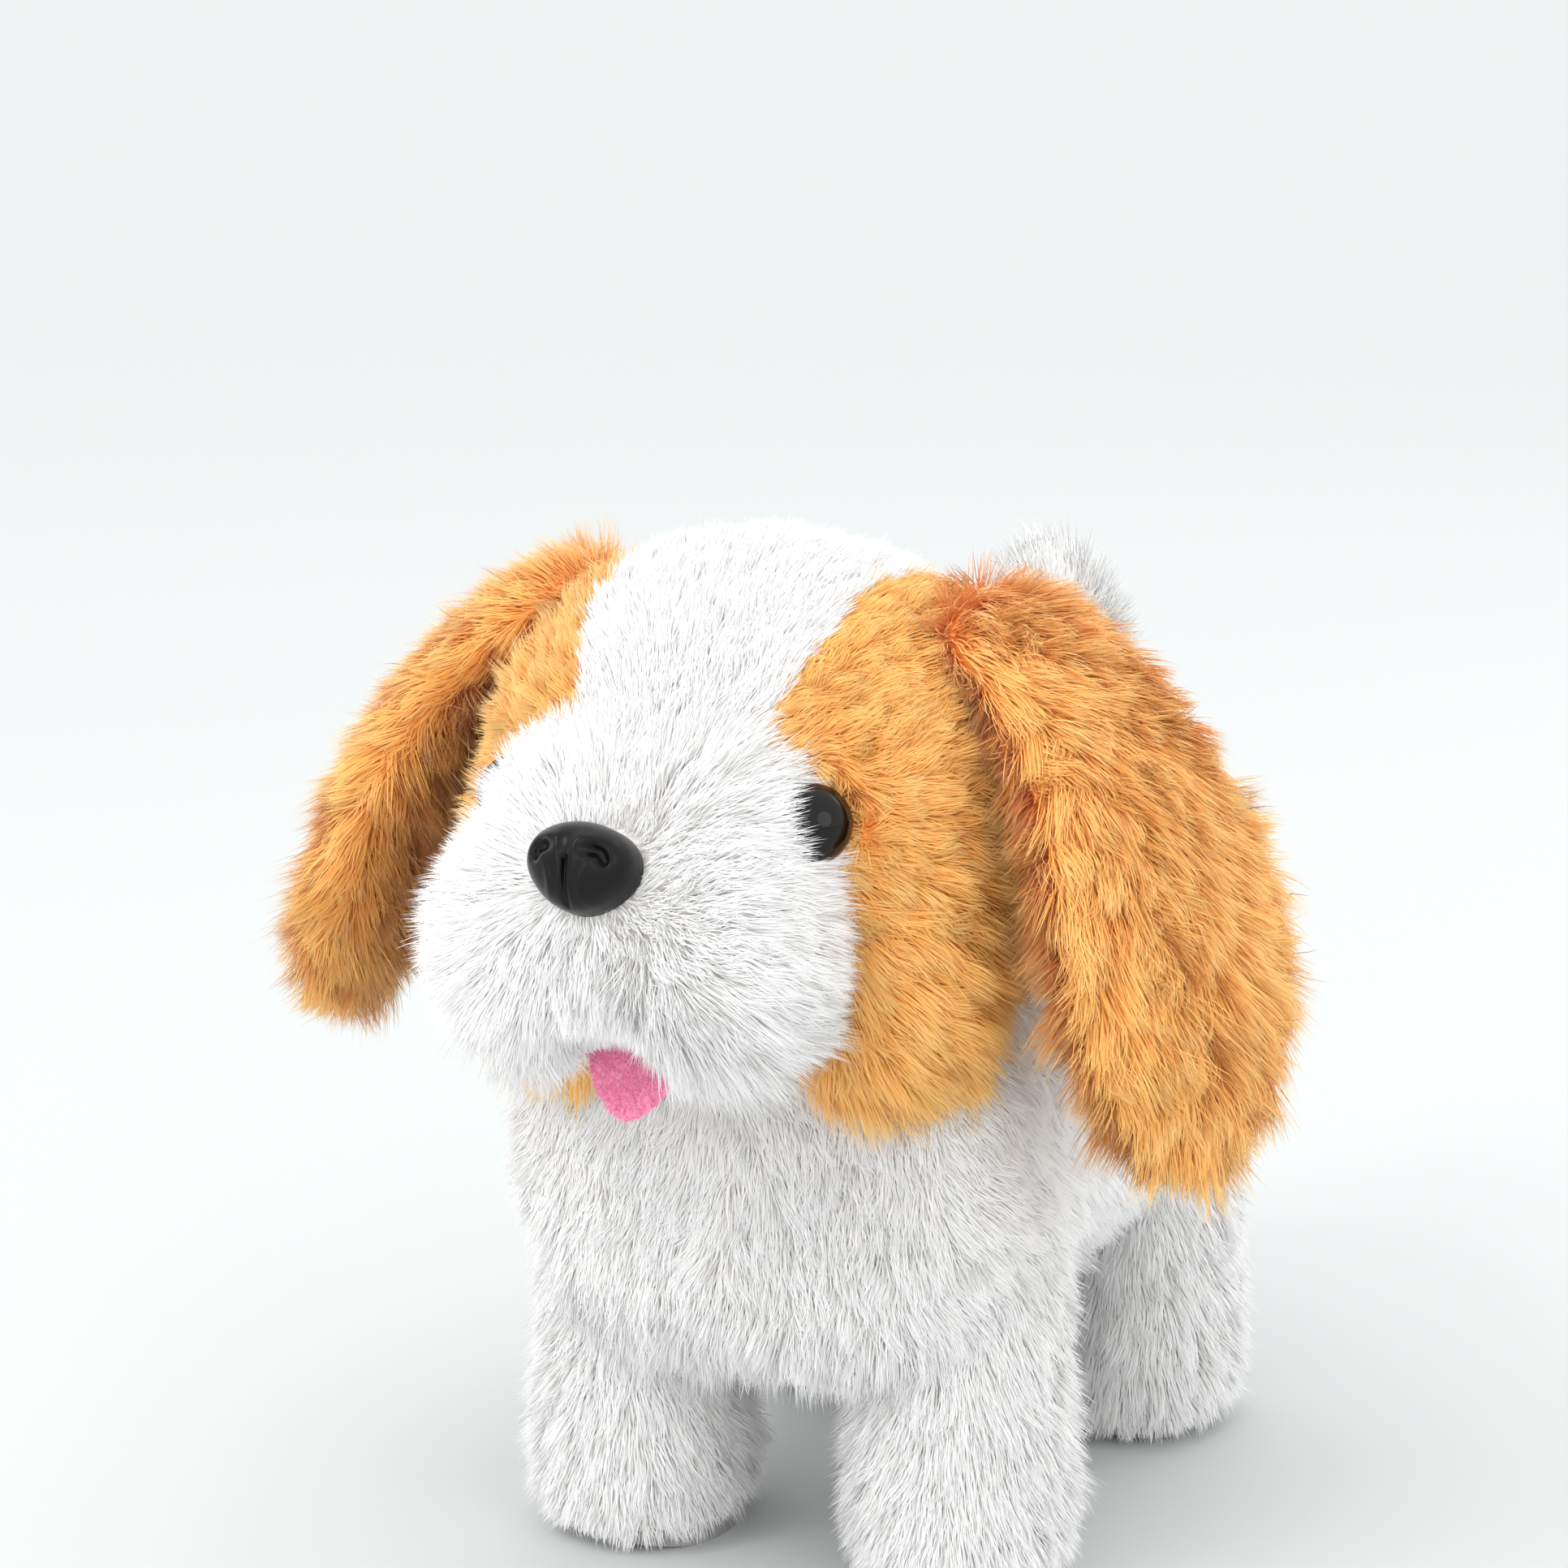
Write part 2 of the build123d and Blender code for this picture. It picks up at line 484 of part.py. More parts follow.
def head_panels():
    """The plush skin of the head: white blaze, two side panels, and the muzzle."""
    skin = shell_of(HEAD_HALF_WIDTH, HEAD_RADIUS, HEAD_Y, HEAD_Z, PLUSH_THICK)
    skin -= rod_z(NECK_RADIUS, 60, HEAD_Z, 0, HEAD_Y + 4)
    whole_head = spheroid_x(HEAD_HALF_WIDTH, HEAD_RADIUS, HEAD_Y, HEAD_Z)
    muzzle = spheroid_x(MUZZLE_HALF_WIDTH, MUZZLE_RADIUS, MUZZLE_Y, MUZZLE_Z) - whole_head
    wall = PLUSH_THICK - 1
    muzzle -= spheroid_x(MUZZLE_HALF_WIDTH - wall, MUZZLE_RADIUS - wall, MUZZLE_Y, MUZZLE_Z)
    muzzle -= tongue()
    muzzle -= nose_dome() + nose_rod(NOSE_SHANK, -12, 0)
    eye_cut = eye_rod(1.8, -16, 4) + (Pos(EYE_X, EYE_Y, EYE_Z) * Sphere(EYE_RADIUS) - eye_rod(10, -10, -1.5))
    for cut in both_sides(eye_cut):
        skin -= cut
        muzzle -= cut
    half = BLAZE_HALF_WIDTH
    blaze = skin & block(-half, half, -150, 50, 50, 200)
    left = skin & block(half, 60, -150, 50, 50, 200)
    right = skin & block(-60, -half, -150, 50, 50, 200)
    return [max(panel.solids(), key=lambda solid: solid.volume) for panel in (blaze, left, right, muzzle)]


def head_stuffing():
    """The fibre filling between the plush skin and the moving parts of the neck."""
    gap = PLUSH_THICK + 0.2
    filling = spheroid_x(HEAD_HALF_WIDTH - gap, HEAD_RADIUS - gap, HEAD_Y, HEAD_Z)
    filling -= rod_z(NECK_RADIUS + 2, 60, HEAD_Z + 21, 0, HEAD_Y + 2)
    for cut in both_sides(eye_rod(6.2, -16, 4)):
        filling -= cut
    return max(filling.solids(), key=lambda solid: solid.volume)


def muzzle_stuffing():
    gap = PLUSH_THICK - 0.8
    filling = spheroid_x(MUZZLE_HALF_WIDTH - gap, MUZZLE_RADIUS - gap, MUZZLE_Y, MUZZLE_Z)
    filling -= spheroid_x(HEAD_HALF_WIDTH + 0.2, HEAD_RADIUS + 0.2, HEAD_Y, HEAD_Z)
    filling -= tongue()
    filling -= nose_rod(4.7, -12, 2)
    for cut in both_sides(eye_rod(6.2, -16, 8)):
        filling -= cut
    return max(filling.solids(), key=lambda solid: solid.volume)


def ear():
    """The left ear: a thick bowed flap, hinged along the seam on the side of the head."""
    bow = ThreePointArc(*EAR_BOW)
    centre, radius = bow.arc_center, bow.radius
    outer = rod_y(radius + EAR_THICK / 2, -90, 0, centre.X, centre.Y)
    flap = outer - rod_y(radius - EAR_THICK / 2, -91, 1, centre.X, centre.Y)
    top = Pos(EAR_TOP_Y, EAR_TOP_Z) * Circle(EAR_TOP_RADIUS)
    tip = Pos(EAR_TIP_Y, EAR_TIP_Z) * Circle(EAR_TIP_RADIUS)
    outline = make_hull(top.edges() + tip.edges())
    side_view = Plane(origin=(EAR_HINGE_X, 0, 0), x_dir=(0, 1, 0), z_dir=(1, 0, 0))
    flap &= extrude(side_view * outline, 60)
    flap -= rod_y(EAR_SEAM_RADIUS + 0.4, -90, 0, EAR_HINGE_X, EAR_HINGE_Z)
    return flap - spheroid_x(HEAD_HALF_WIDTH + 0.6, HEAD_RADIUS + 0.6, HEAD_Y, HEAD_Z)


def ear_seam():
    """The stitched roll that the ear turns on, sewn to the head panel."""
    roll = rod_y(EAR_SEAM_RADIUS, EAR_TOP_Y - 10, EAR_TOP_Y + 10, EAR_HINGE_X, EAR_HINGE_Z)
    return roll - spheroid_x(HEAD_HALF_WIDTH, HEAD_RADIUS, HEAD_Y, HEAD_Z)


def tail_lever():
    """The plastic spine of the tail, on an upright pin behind the chassis."""
    hub = rod_z(4, TAIL_PIVOT_Z - 3.7, TAIL_PIVOT_Z + 3.7, 0, TAIL_PIVOT_Y)
    hub += rod_z(AXLE_RADIUS, TAIL_PIVOT_Z - 6, TAIL_PIVOT_Z + 6, 0, TAIL_PIVOT_Y)
    hub += block(-2, 2, TAIL_PIVOT_Y, TAIL_PATH[0][0], TAIL_PIVOT_Z - 3, TAIL_PIVOT_Z + 3)
    return hub + rod_z(2.4, TAIL_PIVOT_Z - 3, 136, 0, 77)


def tail_plush():
    """The plush tail, standing up behind the back."""
    tail = Pos(0, *TAIL_PATH[0]) * Sphere(TAIL_RADIUS)
    for (y0, z0), (y1, z1) in zip(TAIL_PATH, TAIL_PATH[1:]):
        direction = Vector(0, y1 - y0, z1 - z0)
        tube = Plane(origin=(0, y0, z0), z_dir=direction) * Circle(TAIL_RADIUS)
        tail += extrude(tube, direction.length)
        tail += Pos(0, y1, z1) * Sphere(TAIL_RADIUS)
    tail -= rod_z(2.6, 80, 136.2, 0, 77)
    return tail - block(-2.4, 2.4, 60, 77, TAIL_PIVOT_Z - 4, TAIL_PIVOT_Z + 4)


def main():
    os.makedirs("parts", exist_ok=True)
    nodes = {}
    nodes["chassis_left"], nodes["chassis_right"] = chassis_halves()
    nodes["case_screws"] = case_screws()
    nodes["belly_bezel"] = belly_bezel()
    nodes["battery_tray"] = battery_tray()
    nodes["battery_cells"] = battery_cells()
    nodes["battery_contacts"] = battery_contacts()
    nodes["battery_door"] = battery_door()
    nodes["door_screw"] = door_screw()
    nodes["switch_housing"], nodes["power_switch_knob"] = power_switch()
    nodes["circuit_board"] = circuit_board()
    nodes["speaker"] = speaker()
    nodes["motor"] = motor()
    pinion, wheel_one, wheel_two, crank_gear = gear_train()
    nodes["motor_pinion"] = pinion
    nodes["idler_gear_one"] = wheel_one
    nodes["idler_gear_two"] = wheel_two
    nodes["crank_gear"] = crank_gear
    nodes["idler_shafts"] = idler_shafts()
    nodes["left_crank"] = crank(1, CRANK_THROW)
    nodes["right_crank"] = crank(-1, -CRANK_THROW)
    nodes["front_hip_axle"] = hip_axle(FRONT_HIP_Y)
    nodes["rear_hip_axle"] = hip_axle(REAR_HIP_Y)
    nodes["hip_bushes"] = hip_bushes()
    nodes["left_link_rod"], nodes["right_link_rod"] = both_sides(link_rod())
    for end, hip_y, lever_top, slotted in (
            ("front", FRONT_HIP_Y, 79.5, False), ("rear", REAR_HIP_Y, 92.0, True)):
        for name, left_shape in zip(("frame", "sole", "plush"), leg(hip_y, lever_top, slotted)):
            left_right = both_sides(left_shape)
            nodes[f"left_{end}_leg_{name}"], nodes[f"right_{end}_leg_{name}"] = left_right
    nodes["body_plush"] = body_plush()
    nodes["neck_post"], nodes["neck_pin"], nodes["head_frame"] = neck()
    nodes["head_stuffing"] = head_stuffing()
    nodes["muzzle_stuffing"] = muzzle_stuffing()
    blaze, left_cheek, right_cheek, muzzle = head_panels()
    nodes["head_blaze_panel"] = blaze
    nodes["left_cheek_panel"] = left_cheek
    nodes["right_cheek_panel"] = right_cheek
    nodes["muzzle_panel"] = muzzle
    nodes["left_eye"], nodes["right_eye"] = both_sides(eye())
    nodes["eye_washers"] = both_sides(eye_washer())
    nodes["nose"] = nose()
    nodes["nose_washer"] = nose_washer()
    nodes["tongue"] = tongue()
    nodes["left_ear"], nodes["right_ear"] = both_sides(ear())
    nodes["ear_seams"] = both_sides(ear_seam())
    nodes["tail_lever"] = tail_lever()
    nodes["tail_plush"] = tail_plush()

    front = nodes["nose"].bounding_box().min.Y
    back = nodes["tail_plush"].bounding_box().max.Y
    for name, shape in nodes.items():
        export(name, shape, -(front + back) / 2)


main()
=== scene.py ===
import bpy
import json
import math
import numpy as np
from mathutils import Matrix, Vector
from mathutils.kdtree import KDTree


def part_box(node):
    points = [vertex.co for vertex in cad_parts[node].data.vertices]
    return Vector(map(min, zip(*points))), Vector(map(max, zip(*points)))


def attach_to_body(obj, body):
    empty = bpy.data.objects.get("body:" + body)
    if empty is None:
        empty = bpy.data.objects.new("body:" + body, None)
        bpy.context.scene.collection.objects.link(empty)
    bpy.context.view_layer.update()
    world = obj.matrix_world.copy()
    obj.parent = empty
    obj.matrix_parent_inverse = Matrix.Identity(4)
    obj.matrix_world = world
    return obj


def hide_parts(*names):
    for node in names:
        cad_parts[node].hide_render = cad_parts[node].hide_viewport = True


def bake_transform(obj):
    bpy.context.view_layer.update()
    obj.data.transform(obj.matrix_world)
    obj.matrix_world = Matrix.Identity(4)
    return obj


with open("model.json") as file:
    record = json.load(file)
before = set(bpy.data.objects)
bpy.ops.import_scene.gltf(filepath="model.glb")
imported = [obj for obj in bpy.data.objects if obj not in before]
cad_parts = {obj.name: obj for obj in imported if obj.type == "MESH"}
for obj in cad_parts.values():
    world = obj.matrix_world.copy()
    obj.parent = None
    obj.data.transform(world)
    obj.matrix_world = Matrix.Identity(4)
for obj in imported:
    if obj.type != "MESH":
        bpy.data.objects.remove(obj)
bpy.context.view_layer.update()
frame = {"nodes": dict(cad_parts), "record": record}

# All working sizes are in millimetres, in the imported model's frame: the dog faces -Y, +X is its left.
MM = 0.001
JOINTS = {joint["name"]: joint for joint in frame["record"]["behaviour"]["joints"]}


def joint_place(name):
    return np.array(JOINTS[name]["pos_m"]) / MM


def in_metres(point):
    return tuple(np.asarray(point, float) * MM)


def node_box(name):
    low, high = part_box(name)
    return np.array(low) / MM, np.array(high) / MM


HEAD = joint_place("head_nod")
HEAD_RADII = np.array([42.5, 38.5, 36.8])
MUZZLE_LOW, MUZZLE_HIGH = node_box("muzzle_panel")
MUZZLE_REACH = 23.0               # from the muzzle's middle to its front
MUZZLE = np.array([0.0, MUZZLE_LOW[1] + MUZZLE_REACH, (MUZZLE_LOW[2] + MUZZLE_HIGH[2]) / 2])
MUZZLE_RADII = np.array([23.5, 20.5, 18.5])
EAR_HINGE = joint_place("left_ear_flop")
TAIL_PIVOT = joint_place("tail_wag")
FRONT_HIP = joint_place("left_front_leg_swing")
REAR_HIP = joint_place("left_rear_leg_swing")
EYE_LOW, EYE_HIGH = node_box("left_eye")
EYE_RADIUS = 6.0
EYE = np.array([EYE_HIGH[0] - EYE_RADIUS, EYE_LOW[1] + EYE_RADIUS, EYE_HIGH[2] - EYE_RADIUS])
NOSE_TILT = math.radians(24)
NOSE_OUT = np.array([0, -math.cos(NOSE_TILT), math.sin(NOSE_TILT)])
NOSE = MUZZLE + MUZZLE_REACH * NOSE_OUT


# ---- small vector helpers -------------------------------------------------------------------
def unit(v):
    return v / np.maximum(np.linalg.norm(v, axis=-1, keepdims=True), 1e-9)


def smooth(x, low, high):
    t = np.clip((x - low) / (high - low), 0, 1)
    return t * t * (3 - 2 * t)


def mix(a, b, t):
    return a + (b - a) * t


def vectors(x, y, z):
    """Rows of x, y, z, where any of the three may be one number for all rows."""
    return np.stack(np.broadcast_arrays(x, y, z), axis=-1).astype(float)


def tangent_part(v, normal):
    """The part of v that lies along the surface, as a unit vector."""
    return unit(v - normal * np.sum(v * normal, axis=-1, keepdims=True))


class Ripple:
    """Smooth seeded noise from a few sine waves."""

    def __init__(self, seed, wavelength, waves=7):
        rng = np.random.default_rng(seed)
        way = unit(rng.normal(size=(waves, 3)))
        self.k = way * 2 * math.pi / (wavelength * rng.uniform(0.6, 1.6, (waves, 1)))
        self.phase = rng.uniform(0, 2 * math.pi, waves)

    def __call__(self, p):
        return np.sin(p @ self.k.T + self.phase).sum(axis=-1) / math.sqrt(len(self.phase))


# ---- soft shapes as signed distances --------------------------------------------------------
def ellipsoid(p, centre, radii):
    q = (p - centre) / radii
    size = np.linalg.norm(q, axis=-1)
    return size * (size - 1) / np.maximum(np.linalg.norm(q / radii, axis=-1), 1e-9)


def join(a, b, soft):
    h = np.clip(0.5 + 0.5 * (b - a) / soft, 0, 1)
    return mix(b, a, h) - soft * h * (1 - h)


def both(p):
    """The point folded onto the left half, for shapes that come in pairs."""
    return np.abs(p * [1, 0, 0]) + p * [0, 1, 1]


def head_shape(p):
    """Skull, two cheeks and the muzzle."""
    q = both(p)
    d = ellipsoid(p, HEAD, HEAD_RADII)
    d = join(d, ellipsoid(q, HEAD + [25, -13, -22], np.array([17.0, 18.0, 20.0])), 9)
    d = join(d, muzzle_shape(p), 6)
    return d


def muzzle_shape(p):
    """Snout, its bridge and the two lobes beside the mouth."""
    q = both(p)
    d = ellipsoid(p, MUZZLE, MUZZLE_RADII)
    d = join(d, ellipsoid(q, MUZZLE + [9.5, 1, 11], np.array([12.0, 14.0, 11.5])), 5)
    return join(d, ellipsoid(q, MUZZLE + [13.5, -6, -5], np.array([14.0, 16.0, 15.5])), 4)


BODY_LOW, BODY_HIGH = node_box("body_plush")
BODY_CENTRE = (BODY_LOW + BODY_HIGH) / 2 * [0, 1, 1]


def outside_corner(pair):
    """Signed distance from a square corner, from the distances past its two sides."""
    return np.linalg.norm(np.maximum(pair, 0), axis=-1) + np.minimum(pair.max(axis=-1), 0)


def soft_block(p, centre, half, side_rounding, end_rounding):
    """A block along Y with well rounded long edges and tighter rounding at its two ends."""
    q = np.abs(p - centre) - half
    across = q[..., [0, 2]] + side_rounding
    flat = outside_corner(across) - side_rounding
    pair = np.stack([flat, q[..., 1]], axis=-1) + end_rounding
    return outside_corner(pair) - end_rounding


def body_shape(p):
    """Torso, chest, neck, shoulders and haunches."""
    q = both(p)
    front = FRONT_HIP * [0, 1, 1]
    d = soft_block(p, BODY_CENTRE - [0, 0, 1.2], np.array([41.0, 64.6, 34.6]), 27, 12)
    d = join(d, ellipsoid(p, front + [0, 2, 24], np.array([40.5, 27.0, 30.0])), 8)
    d = join(d, ellipsoid(p, front + [0, -1, 44], np.array([31.0, 24.0, 18.0])), 10)
    d = join(d, ellipsoid(q, FRONT_HIP, np.array([13.5, 17.0, 20.0])), 6)
    return join(d, ellipsoid(q, REAR_HIP + [0, 1, 2], np.array([13.5, 20.0, 22.0])), 6)


def gradient(shape, p):
    """Outward normals of a soft shape."""
    steps = np.eye(3) * 0.05
    return unit(np.stack([shape(p + step) - shape(p - step) for step in steps], axis=-1))


# ---- meshes ---------------------------------------------------------------------------------
def new_object(name, vertices, faces, uv=None, smooth_shade=True):
    """A mesh object from millimetre points; faces is a list of equal-width index arrays."""
    mesh = bpy.data.meshes.new(name)
    mesh.vertices.add(len(vertices))
    mesh.vertices.foreach_set("co", (np.asarray(vertices) * MM).astype(np.float32).ravel())
    corners = np.concatenate([block.ravel() for block in faces])
    counts = np.concatenate([np.full(len(block), block.shape[1]) for block in faces])
    mesh.loops.add(len(corners))
    mesh.loops.foreach_set("vertex_index", corners.astype(np.int32))
    mesh.polygons.add(len(counts))
    starts = np.concatenate([[0], np.cumsum(counts)[:-1]])
    mesh.polygons.foreach_set("loop_start", starts.astype(np.int32))
    mesh.polygons.foreach_set("use_smooth", np.full(len(counts), smooth_shade))
    mesh.update(calc_edges=True)
    if uv is not None:
        layer = mesh.uv_layers.new(name="OFBake")
        layer.data.foreach_set("uv", np.asarray(uv)[corners].astype(np.float32).ravel())
    if uv is None:
        mesh.validate()
    obj = bpy.data.objects.new(name, mesh)
    bpy.context.scene.collection.objects.link(obj)
    return obj


def attach(obj, body):
    """Ride one body. When body is (from, to, start, end) the mesh is only baked in place and follows
    neither body.
    """
    if isinstance(body, str):
        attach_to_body(obj, body)
    else:
        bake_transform(obj)


def dress(obj, material):
    obj.data.materials.append(material)


def ball_grid(rows, columns):
    """Directions over a sphere and the quads between them, closed at both poles."""
    up = np.linspace(0, math.pi, rows)
    round_ = np.linspace(0, 2 * math.pi, columns, endpoint=False)
    a, b = np.meshgrid(up, round_, indexing="ij")
    points = np.stack([np.sin(a) * np.cos(b), np.cos(a), np.sin(a) * np.sin(b)], axis=-1)
    return points.reshape(-1, 3), grid_faces(rows, columns)


def grid_faces(rows, columns):
    """Quads of a grid that wraps round in its second direction."""
    i, j = np.meshgrid(np.arange(rows - 1), np.arange(columns), indexing="ij")
    k = (j + 1) % columns
    quads = [i * columns + j, (i + 1) * columns + j, (i + 1) * columns + k, i * columns + k]
    return np.stack(quads, axis=-1).reshape(-1, 4)


def surface_from(shape, centre, reach, rows=110, columns=160):
    """The outermost surface of a soft shape, seen from a point inside it."""
    directions, faces = ball_grid(rows, columns)
    steps = np.linspace(reach, 1, 90)
    far = np.full(len(directions), 1.0)
    found = np.zeros(len(directions), bool)
    for step in steps:
        inside = ~found & (shape(centre + directions * step) < 0)
        far[inside] = step
        found |= inside
    low, high = far.copy(), far + (reach - 1) / 89
    for _ in range(14):
        middle = (low + high) / 2
        inside = shape(centre + directions * middle[:, None]) < 0
        low, high = np.where(inside, middle, low), np.where(inside, high, middle)
    points = centre + directions * low[:, None]
    return points, faces[:, ::-1], gradient(shape, points)


def grid_normals(points, rows, columns):
    """Outward normals of a wrapped grid."""
    grid = points.reshape(rows, columns, 3)
    along = np.gradient(grid, axis=0)
    around = np.roll(grid, -1, axis=1) - np.roll(grid, 1, axis=1)
    normal = unit(np.cross(along, around))
    middle = grid.mean(axis=1, keepdims=True)
    flip = np.sign(np.sum((grid - middle) * normal, axis=-1, keepdims=True).mean())
    normal = normal * (flip if flip else 1)
    normal[0] = unit(grid[0].mean(0) - grid[2].mean(0))
    normal[-1] = unit(grid[-1].mean(0) - grid[-3].mean(0))
    return normal.reshape(-1, 3)


def tube(centre, across, through, half_width, half_depth, rows=70, columns=56):
    """A closed padded form round a middle line. Each argument is a function of 0 to 1 along it."""
    t = 0.5 - 0.5 * np.cos(np.linspace(0, math.pi, rows))
    angle = np.linspace(0, 2 * math.pi, columns, endpoint=False)
    w, d = half_width(t)[:, None, None], half_depth(t)[:, None, None]
    c, s = np.cos(angle)[None, :, None], np.sin(angle)[None, :, None]
    points = centre(t)[:, None, :] + across(t)[:, None, :] * c * w + through(t)[:, None, :] * s * d
    points = points.reshape(-1, 3)
    normals = grid_normals(points, rows, columns)
    return points, grid_faces(rows, columns), normals


# ---- materials ------------------------------------------------------------------------------
def make_material(name, colour, roughness=0.5, **sockets):
    material = bpy.data.materials.new(name)
    material.use_nodes = True
    shader = material.node_tree.nodes["Principled BSDF"]
    shader.inputs["Base Color"].default_value = (*colour, 1)
    shader.inputs["Roughness"].default_value = roughness
    for socket, value in sockets.items():
        shader.inputs[socket.replace("_", " ")].default_value = value
    return material


def srgb(r, g, b):
    """Linear colour from 0-255 values."""
    c = np.array([r, g, b]) / 255
    return tuple(np.where(c <= 0.04045, c / 12.92, ((c + 0.055) / 1.055) ** 2.4))


def colour_ramp(tree, factor, colours, places=None, interpolation="LINEAR"):
    """A ramp node through the colours, evenly spaced unless places are given."""
    ramp = tree.nodes.new("ShaderNodeValToRGB")
    ramp.color_ramp.interpolation = interpolation
    for _ in colours[2:]:
        ramp.color_ramp.elements.new(0.5)
    places = np.linspace(0, 1, len(colours)) if places is None else places
    for element, place, colour in zip(ramp.color_ramp.elements, places, colours):
        element.position = place
        element.color = (*colour, 1)
    tree.links.new(factor, ramp.inputs["Fac"])
    return ramp.outputs["Color"]


THROUGH = 0.12                    # share of the light that passes through a fibre


def fur_material(name, low_tone, high_tone):
    """Fibre colour: root to tip along V, darker at the root as painted shade down among the fibres, and
    from the first to the second set of colours along U.
    """
    material = make_material(name, low_tone[1], 0.75, Sheen_Weight=0.25, Sheen_Roughness=0.5)
    tree = material.node_tree
    place = tree.nodes.new("ShaderNodeUVMap")
    place.uv_map = "OFBake"
    split = tree.nodes.new("ShaderNodeSeparateXYZ")
    tree.links.new(place.outputs["UV"], split.inputs["Vector"])
    blend = tree.nodes.new("ShaderNodeMix")
    blend.data_type = "RGBA"
    tree.links.new(split.outputs["X"], blend.inputs["Factor"])
    for side, colours in (("A", low_tone), ("B", high_tone)):
        tone = colour_ramp(tree, split.outputs["Y"], colours, interpolation="EASE")
        tree.links.new(tone, blend.inputs[side])
    shader = tree.nodes["Principled BSDF"]
    tree.links.new(blend.outputs["Result"], shader.inputs["Base Color"])
    through = tree.nodes.new("ShaderNodeBsdfTranslucent")
    tree.links.new(blend.outputs["Result"], through.inputs["Color"])
    lit = tree.nodes.new("ShaderNodeMixShader")
    lit.inputs["Fac"].default_value = THROUGH
    tree.links.new(shader.outputs["BSDF"], lit.inputs[1])
    tree.links.new(through.outputs["BSDF"], lit.inputs[2])
    tree.links.new(lit.outputs["Shader"], tree.nodes["Material Output"].inputs["Surface"])
    return material


# Each list runs root, middle, tip; the darker roots are painted shade down among the fibres.
WHITE_FUR = fur_material(
    "white_fur",
    [srgb(245, 241, 239), srgb(249, 247, 246), srgb(251, 250, 250)],
    [srgb(248, 245, 244), srgb(251, 250, 249), srgb(253, 253, 253)])
ORANGE_FUR = fur_material(
    "orange_fur",
    [srgb(255, 164, 74), srgb(255, 184, 92), srgb(255, 203, 115)],
    [srgb(255, 174, 86), srgb(255, 199, 110), srgb(255, 219, 145)])
WHITE_SKIN = make_material("white_backing", srgb(248, 244, 242), 0.9)
ORANGE_SKIN = make_material("orange_backing", srgb(255, 166, 76), 0.9)


# ---- fur ------------------------------------------------------------------------------------
FLOOR_GAP = 0.3                   # no fibre hangs lower than this


def scatter(points, faces, normals, density, seed, keep=None):
    """Random roots over a surface, at a number per square millimetre, with their normals."""
    rng = np.random.default_rng(seed)
    triangles = np.concatenate([faces[:, [0, 1, 2]], faces[:, [0, 2, 3]]])
    a, b, c = points[triangles[:, 0]], points[triangles[:, 1]], points[triangles[:, 2]]
    area = np.linalg.norm(np.cross(b - a, c - a), axis=1) / 2
    rate = density(a) if callable(density) else density
    weight = area * rate
    count = int(weight.sum())
    pick = rng.choice(len(triangles), count, p=weight / weight.sum())
    u, v = rng.random(count), rng.random(count)
    fold = u + v > 1
    u[fold], v[fold] = 1 - u[fold], 1 - v[fold]
    chosen = triangles[pick]
    w = np.stack([1 - u - v, u, v], axis=-1)[..., None]
    roots = (points[chosen] * w).sum(axis=1)
    facing = unit((normals[chosen] * w).sum(axis=1))
    if keep is not None:
        kept = keep(roots)
        roots, facing = roots[kept], facing[kept]
    return roots, facing


